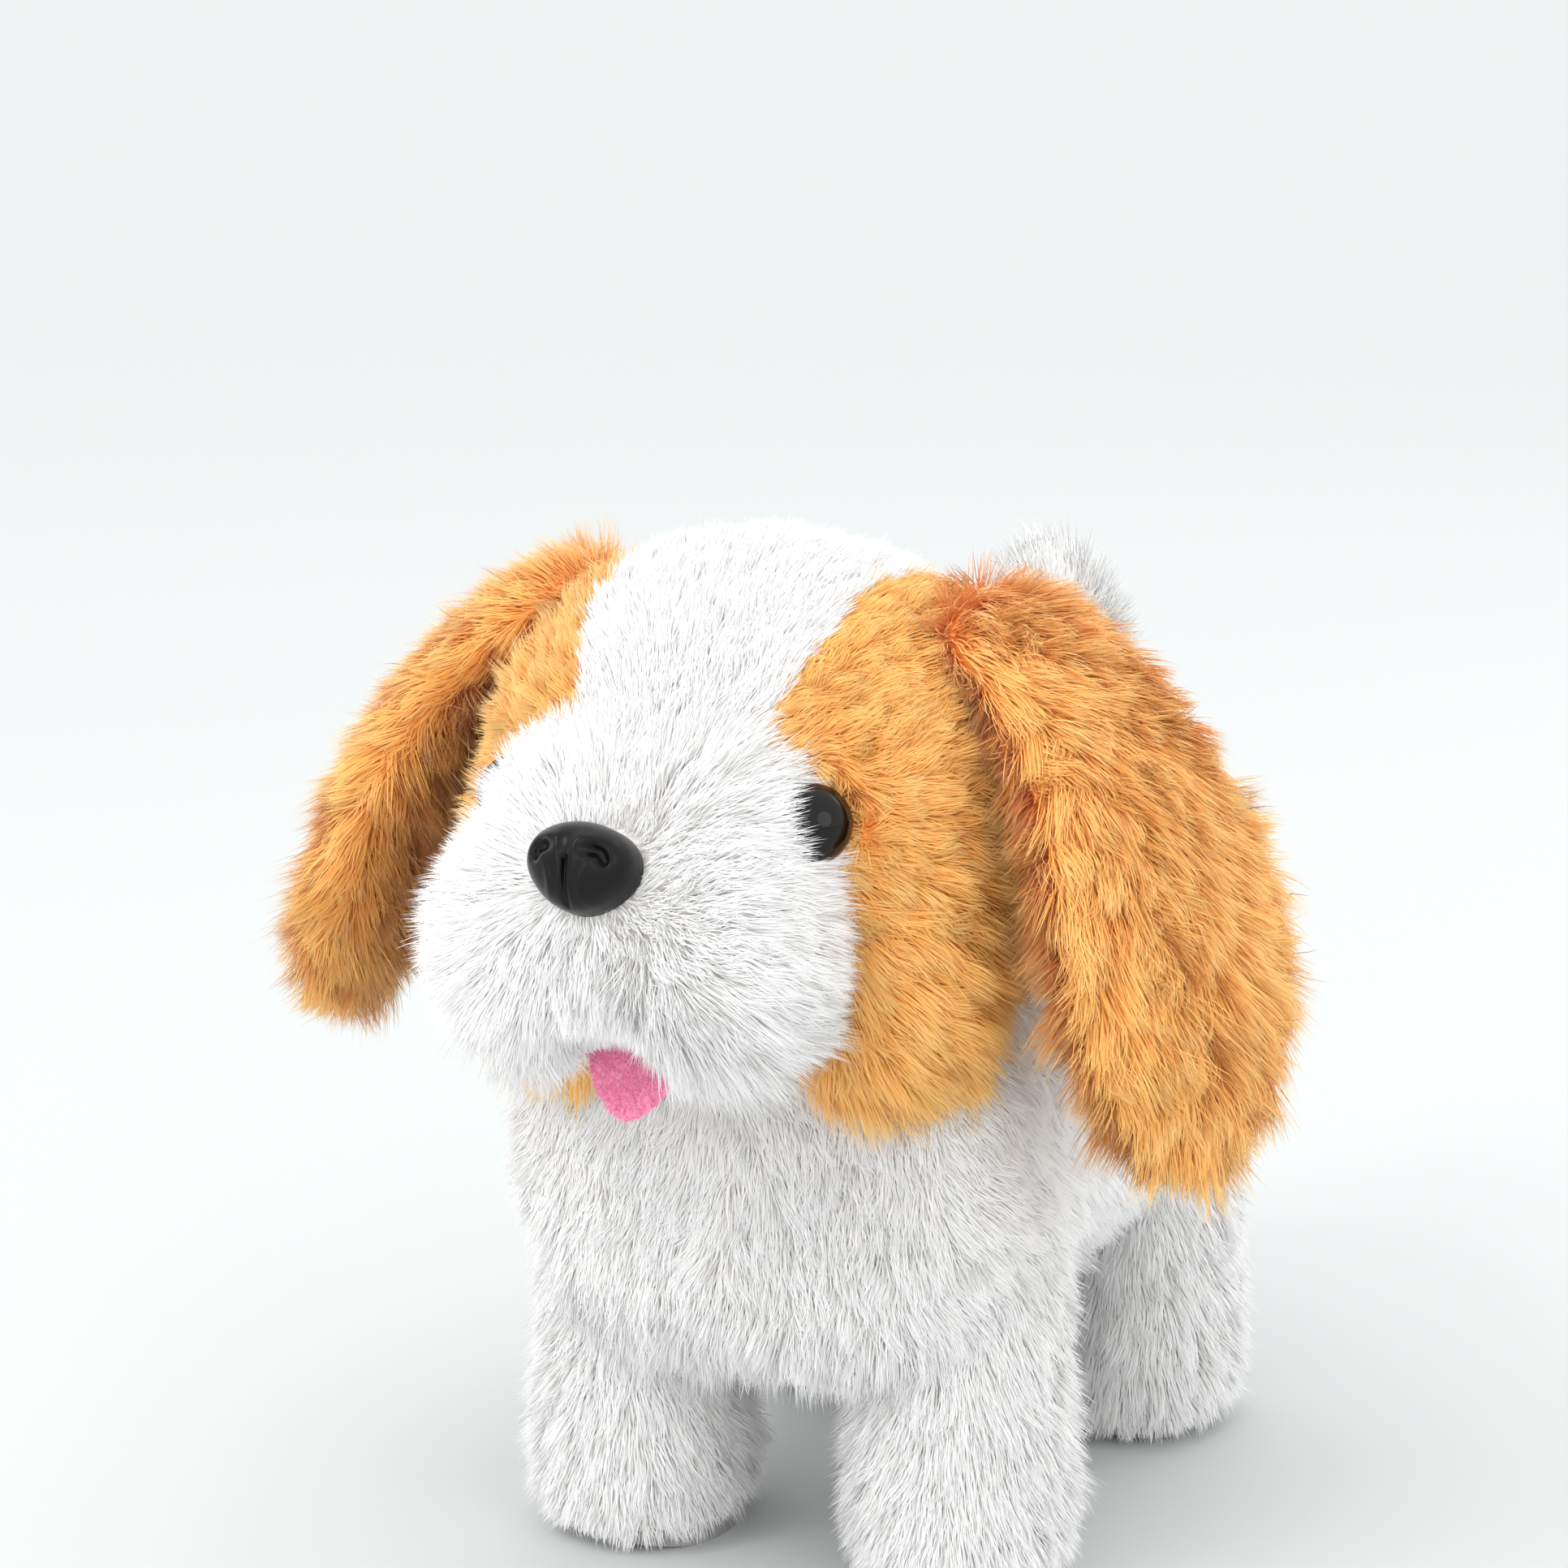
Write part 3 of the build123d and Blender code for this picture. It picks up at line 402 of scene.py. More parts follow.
def fibres(name, roots, normals, comb, length, lean, body, material, node_slot, seed,
           width=0.34, clump_size=12, clump=0.5, droop=0.25, mess=0.22, tuft=0.1):
    """Plush pile as tapered blades. comb, length and lean (0 upright, 1 flat) are per root.

    mess is each fibre's own disorder and tuft each clump's. clump pulls tips towards their leader's.
    """
    rng = np.random.default_rng(seed)
    count = len(roots)
    comb = tangent_part(comb, normals)
    jitter = rng.normal(size=(count, 3)) * mess
    start = unit(normals * (1 - 0.55 * lean)[:, None] + comb * lean[:, None] + jitter)
    down = np.array([0.0, 0.0, -1.0])
    finish = unit(start + comb * (0.8 * lean)[:, None] + down * droop + jitter * 0.6)
    length = length * rng.uniform(0.72, 1.12, count)
    tips = roots + (start * 0.5 + finish * 0.5) * length[:, None]

    centres = rng.choice(count, max(8, count // clump_size), replace=False)
    tree = KDTree(len(centres))
    for index, centre in enumerate(centres):
        tree.insert(roots[centre], index)
    tree.balance()
    nearest = np.array([tree.find(root)[1] for root in roots])
    leader = centres[nearest]
    pull = clump * rng.uniform(0.5, 1.0, count)[:, None]
    gather = (tips[leader] - tips) * pull
    gather += (rng.normal(size=(len(centres), 3)) * tuft)[nearest] * length[:, None]
    tone = 0.5 + 0.22 * rng.normal(size=count) + 0.22 * rng.normal(size=len(centres))[nearest]
    tone = np.clip(tone, 0, 1)

    side = unit(unit(np.cross(start, normals)) + rng.normal(size=(count, 3)) * 0.2)
    inwards = np.sum(np.cross(side, start) * normals, axis=1, keepdims=True) < 0
    side *= np.where(inwards, -1, 1)
    face_way = np.cross(side, start)
    shade = unit(normals * 0.72 + face_way * 0.18 - unit(gather + 1e-6) * 0.22 * clump)
    stations, widths = (0.0, 0.42, 0.76, 1.0), (1.0, 0.85, 0.52, 0.0)
    vertices, along = [], []
    for t, w in zip(stations, widths):
        line = roots + start * (length * t * (1 - t / 2))[:, None]
        line = line + finish * (length * t * t / 2)[:, None] + gather * t * t
        half = side * (width * w / 2)
        vertices += [line - half, line + half] if w else [line]
        along += [t, t] if w else [t]
    per = len(along)
    vertices = np.stack(vertices, axis=1).reshape(-1, 3)
    vertices[:, 2] = np.maximum(vertices[:, 2], FLOOR_GAP)
    base = (np.arange(count) * per)[:, None]
    quads = np.concatenate([base + [0, 1, 3, 2], base + [2, 3, 5, 4]])
    tips_faces = base + [4, 5, 6]
    uv = np.stack([np.repeat(tone * 0.96 + 0.02, per), np.tile(along, count) * 0.96 + 0.02], axis=-1)
    obj = new_object(name, vertices, [quads, tips_faces], uv)
    obj.data.normals_split_custom_set_from_vertices(np.repeat(shade, per, axis=0))
    dress(obj, material)
    attach(obj, body)
    return obj


PILE_LIMIT = 39000                # fibres in one mesh


def pile(name, roots, normals, comb, length, lean, seed_base, **options):
    """fibres() in as many objects as keep each mesh to a sensible size, side by side."""
    parts = max(1, -(-len(roots) // PILE_LIMIT))
    order = np.argsort(roots[:, 2] + 0.4 * roots[:, 1], kind="stable")
    made = []
    for index, chosen in enumerate(np.array_split(order, parts)):
        suffix = f"_{index + 1}" if parts > 1 else ""
        made.append(fibres(name + suffix, roots[chosen], normals[chosen], comb[chosen], length[chosen],
                           lean[chosen], seed=seed_base + index, **options))
    return made


def skin(name, points, faces, material, body, replaced):
    """The backing fabric of a stuffed piece, which the pile stands on."""
    obj = new_object(name, points, [faces])
    dress(obj, material)
    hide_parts(replaced)
    attach(obj, body)


# ---- head -----------------------------------------------------------------------------------
def eye_gap(p):
    return np.linalg.norm(both(p) - EYE, axis=-1)


def is_muzzle(p):
    return (muzzle_shape(p) < 1.2) & (p[:, 1] < MUZZLE[1] + 4)


def blaze_half_width(p):
    """The white stripe's half width: narrow between the eyes, wider over the crown."""
    up = smooth(p[:, 2], MUZZLE[2] + 14, HEAD[2] + 36)
    back = smooth(p[:, 1], HEAD[1] - 20, HEAD[1] + 35)
    return 12.5 + 7.5 * up + 4 * back


EDGE = Ripple(3, 9)


def is_white(p):
    """Muzzle, chin, and the stripe over the crown and down the back of the head."""
    stripe = np.abs(p[:, 0]) + 0.7 * EDGE(p) < blaze_half_width(p)
    chin = (p[:, 2] < HEAD[2] - 30) & (p[:, 1] < HEAD[1] + 10) & (np.abs(p[:, 0]) < 16)
    return is_muzzle(p) | (stripe & ((p[:, 2] > MUZZLE[2]) | (p[:, 1] > HEAD[1] + 20))) | chin


def head_comb(p, n):
    """Pile lies away from the nose, then sinks down the cheeks."""
    away = unit(p - NOSE)
    low = smooth(HEAD[2] + 12 - p[:, 2], 0, 30) * smooth(p[:, 1], MUZZLE[1] - 6, HEAD[1])
    swirl = vectors(np.cos(TURN(p)), 0, np.sin(TURN(p))) * 0.35
    return away + low[:, None] * np.array([0, 0.1, -1.1]) + swirl


TURN = Ripple(11, 26)

head_points, head_faces, head_normals = surface_from(head_shape, HEAD, 66, 120, 180)
head_skin = new_object("head_skin", head_points, [head_faces])
for material in (ORANGE_SKIN, WHITE_SKIN):
    head_skin.data.materials.append(material)
centres = head_points[head_faces].mean(axis=1)
head_skin.data.polygons.foreach_set("material_index", is_white(centres).astype(np.int32))
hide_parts("head_blaze_panel", "left_cheek_panel", "right_cheek_panel", "muzzle_panel")
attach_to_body(head_skin, "head")


def head_keep(p):
    under_nose = np.linalg.norm((p - NOSE) * [0.85, 0.6, 1.05], axis=-1) < 6.4
    return (eye_gap(p) > 5.2) & ~under_nose & (body_shape(p) > -1)


roots, facing = scatter(head_points, head_faces, head_normals, 9.0, 21, head_keep)
white, muzzle = is_white(roots), is_muzzle(roots)
comb = head_comb(roots, facing)
near_eye = smooth(eye_gap(roots), 5.2, 10)
to_eye = (EYE - both(roots)) * vectors(np.sign(roots[:, 0]), 1, 1)
outer = smooth(np.abs(roots[:, 0]) + 0.6 * (roots[:, 2] - EYE[2]), EYE[0] - 1, EYE[0] + 3)
lid = outer * (1 - smooth(eye_gap(roots), 8, 12))
comb = mix(comb, unit(to_eye) * 1.4, lid[:, None])
from_nose = np.linalg.norm(roots - NOSE, axis=-1)
cheek = smooth(HEAD[2] + 4 - roots[:, 2], 0, 26) * smooth(np.abs(roots[:, 0]), 12, 26)
fringe = smooth(HEAD[2] - 28 - roots[:, 2], 0, 9)
length = mix(5.2, 8.6, cheek) + 2.5 * fringe
length = np.where(white & ~muzzle, 4.8, length)
over_tongue = (1 - smooth(np.abs(roots[:, 0]), 6, 12)) * smooth(MUZZLE[2] - 8 - roots[:, 2], 0, 6)
muzzle_length = mix(3.8, 7.2, smooth(from_nose, 7, 18))
muzzle_length = muzzle_length + 2.0 * smooth(MUZZLE[2] - 8 - roots[:, 2], 0, 8)
muzzle_length *= 1 - 0.6 * over_tongue
by_eye = np.where(muzzle, 1.1, mix(0.6, 1.0, near_eye))
length = np.where(muzzle, muzzle_length, length) * mix(by_eye, 1.1, lid)
lean = np.where(muzzle, 0.56, mix(0.6, 0.7, cheek)) + 0.1 * (1 - near_eye) - 0.2 * lid

blaze = white & ~muzzle
for name, part, material, node_slot, options in (
        ("muzzle_pile", muzzle, WHITE_FUR, "white_plush",
         dict(seed_base=100, width=0.2, clump_size=26, clump=0.34, droop=0.12, mess=0.17)),
        ("blaze_pile", blaze, WHITE_FUR, "white_plush",
         dict(seed_base=110, width=0.21, clump_size=26, clump=0.3, droop=0.05, mess=0.17)),
        ("cheek_pile", ~white, ORANGE_FUR, "orange_plush",
         dict(seed_base=120, width=0.23, clump_size=40, clump=0.5, droop=0.2, tuft=0.17))):
    pile(name, roots[part], facing[part], comb[part], length[part], lean[part], body="head",
         material=material, node_slot=node_slot, **options)

# ---- body -----------------------------------------------------------------------------------
LEG_RADIUS = 13.0
LEGS = {f"{side}_{end}_leg": hip * [1 if side == "left" else -1, 1, 1]
        for side in ("left", "right") for end, hip in (("front", FRONT_HIP), ("rear", REAR_HIP))}
BEZEL_LOW, BEZEL_HIGH = node_box("belly_bezel")

body_points, body_faces, body_normals = surface_from(body_shape, BODY_CENTRE, 95, 130, 170)
skin("body_skin", body_points, body_faces, WHITE_SKIN, "root", "body_plush")


def leg_gap(p):
    """Distance in plan from the nearest leg's middle line, outside its radius."""
    gaps = [np.linalg.norm((p - hip)[:, :2], axis=-1) for hip in LEGS.values()]
    return np.where(p[:, 2] < FRONT_HIP[2] - 8, np.min(gaps, axis=0) - LEG_RADIUS, 9)


def body_keep(p):
    """No pile inside the head or the legs, or over the belly plate."""
    on_bezel = (np.abs(p[:, 0]) < BEZEL_HIGH[0] + 1) & (p[:, 2] < FRONT_HIP[2])
    on_bezel &= (p[:, 1] > BEZEL_LOW[1] - 1) & (p[:, 1] < BEZEL_HIGH[1] + 1)
    return (head_shape(p) > -1.5) & ~on_bezel & (leg_gap(p) > -2)


roots, facing = scatter(body_points, body_faces, body_normals, 6.0, 31, body_keep)
under = smooth(-facing[:, 2], 0.45, 0.95)
comb = vectors(0.25 * np.sign(roots[:, 0]), 0.5, -0.85)
comb += vectors(np.cos(TURN(roots)), np.sin(TURN(roots)), 0) * 0.3
front = smooth(FRONT_HIP[1] - 8 - roots[:, 1], 0, 8)
low = smooth(FRONT_HIP[2] - 6 - roots[:, 2], 0, 12)
comb = mix(comb, np.array([0, -0.15, -1.0]), (front * low)[:, None])
fringe = low * np.maximum(front, smooth(np.abs(roots[:, 0]), 20, 30))
length = mix(6.6, 3.4, under * (1 - front)) + 3.4 * fringe
lean = mix(0.66, 0.45, front * low)
pile("body_pile", roots, facing, comb, length, lean, body="root", material=WHITE_FUR,
     node_slot="white_plush", seed_base=200, width=0.22, clump_size=46, clump=0.3, droop=0.3, mess=0.2,
     tuft=0.11)


# ---- legs -----------------------------------------------------------------------------------
def make_leg(name, hip, seed):
    low, _ = node_box(name + "_plush")
    top, bottom = hip[2] + 2, low[2] + 0.4
    outward = math.copysign(1, hip[0])

    def centre(t):
        z = mix(top, bottom, t)
        return vectors(hip[0] + 1.4 * outward, hip[1], z)

    def radius(t):
        shaft = mix(14.0, 15.2, smooth(t, 0.35, 0.8)) * mix(0.9, 1.0, smooth(t, 0, 0.3))
        return shaft * (1 - np.abs(2 * t - 1) ** 16) ** 0.35

    def sideways(t):
        return np.tile([1.0, 0, 0], (len(t), 1))

    def forward(t):
        return np.tile([0, -1.0, 0], (len(t), 1))

    points, faces, normals = tube(centre, sideways, forward, radius, lambda t: radius(t) * 1.12, 60, 60)
    bend = ("root", name, in_metres(hip - [0, 0, 4]), in_metres([hip[0], hip[1], 38]))
    skin(name + "_skin", points, faces, WHITE_SKIN, bend, name + "_plush")

    def keep(p):
        return (body_shape(p) > -1.0) & (p[:, 2] > 3.6)

    roots, facing = scatter(points, faces, normals, 6.6, seed, keep)
    facing = unit(facing * [1, 1, 0.4])
    low_down = smooth(14 - roots[:, 2], 0, 10)
    comb = np.array([0, 0.08, -1.0]) + facing * 0.2
    length = mix(7.4, 5.4, low_down)
    pile(name + "_pile", roots, facing, comb, length, mix(0.6, 0.7, low_down), body=bend,
         material=WHITE_FUR, node_slot="white_plush", seed_base=seed, width=0.23, clump_size=36, clump=0.36,
         droop=0.25, mess=0.17)


for index, (name, hip) in enumerate(LEGS.items()):
    make_leg(name, hip, 300 + 10 * index)

# ---- ears -----------------------------------------------------------------------------------
EAR_TOP_RADIUS, EAR_TIP_RADIUS = 15.5, 22.5
EAR_TURN = math.radians(15)       # the broad face looks a little forwards


def bezier(a, b, c, t):
    t = t[:, None]
    return a * (1 - t) ** 2 + 2 * b * t * (1 - t) + c * t * t


def bezier_slope(a, b, c, t):
    t = t[:, None]
    return unit((b - a) * (1 - t) + (c - b) * t)


def make_ear(side, mirror, lift, seed):
    """A padded ear that drapes from the crown. Its middle line is a, b, c, and lift raises its tip."""
    hinge = EAR_HINGE * [mirror, 1, 1]
    a = np.array([31 * mirror, hinge[1] + 1, 159])
    b = np.array([64 * mirror, hinge[1] - 2, 147])
    c = np.array([73.5 * mirror, hinge[1] - 9, 83 + lift])
    span = 93.0 - lift

    def half_width(t):
        s = t * span
        top = np.sqrt(np.clip(EAR_TOP_RADIUS ** 2 - (s - EAR_TOP_RADIUS) ** 2, 0, None))
        tip = np.sqrt(np.clip(EAR_TIP_RADIUS ** 2 - (s - span + EAR_TIP_RADIUS) ** 2, 0, None))
        middle = mix(EAR_TOP_RADIUS, EAR_TIP_RADIUS, smooth(s, EAR_TOP_RADIUS, span - EAR_TIP_RADIUS))
        return np.where(s < EAR_TOP_RADIUS, top, np.where(s > span - EAR_TIP_RADIUS, tip, middle)) + 0.02

    def half_depth(t):
        return mix(3.8, 5.4, smooth(t, 0.1, 0.6)) * (1 - np.abs(2 * t - 1) ** 8) ** 0.5 + 0.02

    def through(t):
        slope = bezier_slope(a, b, c, t)
        return unit(np.cross(slope, [math.sin(EAR_TURN) * mirror, math.cos(EAR_TURN), 0]))

    def across(t):
        return unit(np.cross(through(t), bezier_slope(a, b, c, t)))

    def centre(t):
        return bezier(a, b, c, t)

    points, faces, normals = tube(centre, across, through, half_width, half_depth, 110, 72)
    bend = ("head", side + "_ear", in_metres(a + [mirror, 0, 0]), in_metres(a + [14 * mirror, 0, -5]))
    skin(side + "_ear_skin", points, faces, ORANGE_SKIN, bend, side + "_ear")
    roots, facing = scatter(points, faces, normals, 7.4, seed, lambda p: head_shape(p) > -0.5)
    far = smooth(160 - roots[:, 2], 0, 84)
    slope = bezier_slope(a, b, c, np.clip(far, 0, 1))
    spread = (roots[:, 1] - mix(a[1], c[1], far)) * 0.022
    comb = slope + vectors(0, spread, 0) + vectors(0, 0.35 * TURN(roots), 0)
    inner = smooth(-facing[:, 0] * mirror, 0, 0.7)
    length = mix(7.6, 10.5, far)
    pile(side + "_ear_pile", roots, facing, comb, length, mix(0.72, 0.5, inner), body=bend,
         material=ORANGE_FUR, node_slot="orange_plush", seed_base=seed, width=0.25, clump_size=44,
         clump=0.52, droop=0.22, tuft=0.16)


make_ear("left", 1, 0, 400)
make_ear("right", -1, 9, 420)


def make_ear_bases():
    """Tufts over the seams that the ears hang from."""
    roots, facing = [], []
    for mirror in (1, -1):
        points, normals = head_points * [mirror, 1, 1], head_normals * [mirror, 1, 1]
        chosen, way = scatter(points, head_faces, normals, 5.0, 440)
        spot = EAR_HINGE * [mirror, 1, 1]
        near = np.linalg.norm((chosen - spot) * [1, 0.45, 1], axis=-1) < 9
        roots.append(chosen[near])
        facing.append(way[near])
    roots, facing = np.concatenate(roots), np.concatenate(facing)
    comb = vectors(np.sign(roots[:, 0]), 0.1, -0.35)
    length, lean = np.full(len(roots), 8.4), np.full(len(roots), 0.6)
    made = pile("ear_base_pile", roots, facing, comb, length, lean, body="head", material=ORANGE_FUR,
                node_slot="orange_plush", seed_base=440, width=0.3, clump_size=20, clump=0.5, droop=0.1)
    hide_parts("ear_seams")


make_ear_bases()


# ---- tail -----------------------------------------------------------------------------------
def make_tail():
    low, high = node_box("tail_plush")
    a = np.array([0, low[1] + 4.0, low[2] - 8.5])
    c = np.array([-4.5, high[1] - 13, high[2] - 10])
    b = np.array([0, high[1] - 10, (low[2] + high[2]) / 2 - 8])

    def radius(t):
        return mix(8.4, 8.8, t) * np.clip(1 - np.abs(2 * t - 1) ** 6, 0, 1) ** 0.5 + 0.02

    def through(t):
        return np.tile([1.0, 0, 0], (len(t), 1))

    def across(t):
        return np.cross(through(t), bezier_slope(a, b, c, t))

    def centre(t):
        return bezier(a, b, c, t)

    points, faces, normals = tube(centre, across, through, radius, radius, 60, 40)
    bend = ("root", "tail", in_metres(TAIL_PIVOT + [0, 6, 4]), in_metres(TAIL_PIVOT + [0, 10, 18]))
    skin("tail_skin", points, faces, WHITE_SKIN, bend, "tail_plush")
    roots, facing = scatter(points, faces, normals, 7.0, 500, lambda p: body_shape(p) > -1)
    far = smooth(roots[:, 2], a[2], c[2])
    comb = bezier_slope(a, b, c, far)
    pile("tail_pile", roots, facing, comb, np.full(len(roots), 8.2), np.full(len(roots), 0.55), body=bend,
         material=WHITE_FUR, node_slot="white_plush", seed_base=500, width=0.22, clump_size=26, clump=0.3,
         droop=0.05)


make_tail()


# ---- nose -----------------------------------------------------------------------------------
def bump_nodes(material, scale, strength, distance, detail=4.0):
    """Fine grain on a moulded or metal surface."""
    tree = material.node_tree
    place = tree.nodes.new("ShaderNodeTexCoord")
    noise = tree.nodes.new("ShaderNodeTexNoise")
    noise.inputs["Scale"].default_value = scale
    noise.inputs["Detail"].default_value = detail
    bump = tree.nodes.new("ShaderNodeBump")
    bump.inputs["Strength"].default_value = strength
    bump.inputs["Distance"].default_value = distance
    tree.links.new(place.outputs["Object"], noise.inputs["Vector"])
    tree.links.new(noise.outputs["Fac"], bump.inputs["Height"])
    tree.links.new(bump.outputs["Normal"], tree.nodes["Principled BSDF"].inputs["Normal"])
    return noise


def hump(u, v, cu, cv, wide, tall=None):
    tall = tall or wide
    return np.exp(-((u - cu) / wide) ** 2 - ((v - cv) / tall) ** 2)


def nose_height(u, v, rim):
    """Height of the moulded nose. u is to the dog's left, v is up, and rim runs 0 to 1 outwards."""
    h = 6.6 * np.sqrt(np.clip(1 - rim ** 2.7, 0, 1)) * (0.94 + 0.02 * v)
    s = np.abs(u)
    h += 0.55 * hump(s, v, 4.1, 2.0, 3.0, 2.3)
    comma = hump(s, v, 4.2, 1.9, 1.5, 1.0) + 0.8 * hump(s, v, 5.3, 0.7, 0.9, 1.0)
    h -= 1.9 * np.clip(comma, 0, 1)
    h += 0.35 * hump(s, v, 3.0, 3.4, 1.6, 0.8)
    h += 0.3 * hump(s, v - 1.0 * (s - 1.4), 1.4, 1.6, 0.7, 2.0)
    groove = np.exp(-(u / 0.42) ** 2) * smooth(1.2 - v, 0, 1.2) * smooth(rim, 1.02, 0.86)
    h -= 0.85 * groove
    h += 0.3 * hump(s, v, 2.4 + 0.12 * (v + 3) ** 2, -3.0, 0.65, 2.6)
    return h


def make_nose():
    rows, columns = 90, 180
    out = np.linspace(0, 1, rows) ** 0.8
    turn = np.linspace(0, 2 * math.pi, columns, endpoint=False)
    r, a = np.meshgrid(out, turn, indexing="ij")
    c, s = np.cos(a), np.sin(a)
    wide = 8.3 * (1 + 0.03 * s)
    tall = np.where(s > 0, 6.2, 6.9)
    u = r * wide * c * mix(1.0, 0.9, smooth(-s, 0.1, 1.0))
    v = r * tall * s + 0.5
    h = nose_height(u, v, r)
    across = np.array([1.0, 0, 0])
    up_way = np.array([0, math.sin(NOSE_TILT), math.cos(NOSE_TILT)])
    points = NOSE + u[..., None] * across + v[..., None] * up_way + (h[..., None] + 0.2) * NOSE_OUT
    back = points[-1] - 2.6 * NOSE_OUT
    middle = np.broadcast_to(back.mean(axis=0), back.shape)
    rings = [(points[-1] + back) / 2, back, (middle + back) / 2, middle]
    points = np.concatenate([points, rings], axis=0)
    faces = grid_faces(rows + 4, columns)
    obj = new_object("nose_moulding", points.reshape(-1, 3), [faces])
    material = make_material("nose_plastic", srgb(13, 12, 13), 0.3, Specular_IOR_Level=0.2)
    bump_nodes(material, 900, 0.08, 0.00008)
    dress(obj, material)
    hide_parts("nose")
    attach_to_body(obj, "head")


make_nose()


# ---- eyes -----------------------------------------------------------------------------------
def make_eye(side, mirror):
    """A safety eye: a glossy dome on a short flange and stem."""
    rows, columns = 60, 96
    outward = unit(np.array([0.55 * mirror, -0.82, 0.12]))
    across = unit(np.cross(outward, [0, 0, 1.0]))
    up = np.cross(across, outward)
    profile = [(EYE_RADIUS * math.sin(a), EYE_RADIUS * math.cos(a) * 0.92)
               for a in np.linspace(0, math.pi * 0.5, rows - 6)]
    profile += [(EYE_RADIUS * 0.985, -0.25), (EYE_RADIUS * 0.95, -0.5), (EYE_RADIUS * 0.8, -0.6),
                (2.2, -0.7), (2.0, -3.0), (0.0, -3.2)]
    turn = np.linspace(0, 2 * math.pi, columns, endpoint=False)
    centre = EYE * [mirror, 1, 1]
    rings = [centre + outward * h + r * (np.cos(turn)[:, None] * across + np.sin(turn)[:, None] * up)
             for r, h in profile]
    obj = new_object(side + "_eye_dome", np.concatenate(rings), [grid_faces(len(profile), columns)])
    dress(obj, EYE_GLOSS)
    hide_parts(side + "_eye")
    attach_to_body(obj, "head")


EYE_GLOSS = make_material("eye_gloss", srgb(8, 7, 8), 0.06, Specular_IOR_Level=0.3)
bump_nodes(EYE_GLOSS, 60, 0.02, 0.0001, 1.0)
make_eye("left", 1)
make_eye("right", -1)


# ---- tongue ---------------------------------------------------------------------------------
def make_tongue():
    low, high = node_box("tongue")
    width, rows, columns, thick = 16.4, 48, 30, 1.1
    top = np.array([0, high[1] + 0.5, high[2] - 1.0])
    tip = np.array([0, low[1] + 4.5, low[2] + 0.8])
    length = np.linalg.norm(tip - top)
    t, s = np.meshgrid(np.linspace(0, 1, rows), np.linspace(-1, 1, columns), indexing="ij")
    along = t * length
    round_off = (1 - t ** 2.6) ** 0.62
    x = s * width / 2 * round_off
    line = top + (tip - top) * t[..., None]
    slope = unit(tip - top)
    normal = unit(np.cross([1.0, 0, 0], slope))
    normal = normal if normal[1] < 0 else -normal
    cup = 1.5 * (np.abs(s) * round_off) ** 2 + 0.9 * t ** 2
    groove = -0.45 * np.exp(-(x / 1.1) ** 2) * smooth(t, 0.05, 0.4) * smooth(1 - t, 0.08, 0.3)
    middle = line + x[..., None] * np.array([1.0, 0, 0]) + (cup + groove)[..., None] * normal
    edge = normal * (thick / 2 * np.sqrt(np.clip(1 - np.abs(s) ** 10, 0, 1)))[..., None]
    front, rear = middle + edge, middle - edge
    points = np.concatenate([front.reshape(-1, 3), rear.reshape(-1, 3)])
    i, j = np.meshgrid(np.arange(rows - 1), np.arange(columns - 1), indexing="ij")
    corner = i * columns + j
    face = np.stack([corner, corner + 1, corner + columns + 1, corner + columns], axis=-1).reshape(-1, 4)
    total = rows * columns
    rim = np.concatenate([np.arange(columns), np.arange(1, rows) * columns + columns - 1,
                          total - 2 - np.arange(columns - 1), np.arange(rows - 2, 0, -1) * columns])
    after = np.roll(rim, -1)
    wall = np.stack([rim, after, after + total, rim + total], axis=-1)
    obj = new_object("tongue_felt", points, [face, face[:, ::-1] + total, wall[:, ::-1]])
    material = make_material("felt_pink", srgb(255, 150, 190), 0.92, Sheen_Weight=0.6, Sheen_Roughness=0.4)
    tree = material.node_tree
    noise = bump_nodes(material, 1500, 0.5, 0.0002, 6.0)
    pinks = [srgb(250, 122, 168), srgb(255, 170, 205)]
    mottle = colour_ramp(tree, noise.outputs["Fac"], pinks, (0.35, 0.65))
    tree.links.new(mottle, tree.nodes["Principled BSDF"].inputs["Base Color"])
    dress(obj, material)
    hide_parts("tongue")
    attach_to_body(obj, "head")
    grid = front.reshape(-1, 3)
    facing = np.tile(normal, (len(grid), 1))
    roots, facing = scatter(grid, face, facing, 14, 700)
    rng = np.random.default_rng(701)
    comb = rng.normal(size=roots.shape) + slope * 0.5
    length, lean = np.full(len(roots), 0.9), np.full(len(roots), 0.7)
    fibres("tongue_fuzz", roots, facing, comb, length, lean, "head", FELT_FUR, "felt_pink", 702,
           width=0.16, clump_size=4, clump=0.1, droop=0.0, mess=0.5)


# Root to tip as for the pile: the darker roots are painted shade among the fibres.
FELT_FUR = fur_material(
    "felt_fibre",
    [srgb(252, 124, 170), srgb(255, 146, 190), srgb(255, 172, 208)],
    [srgb(255, 140, 182), srgb(255, 166, 204), srgb(255, 196, 222)])
make_tongue()

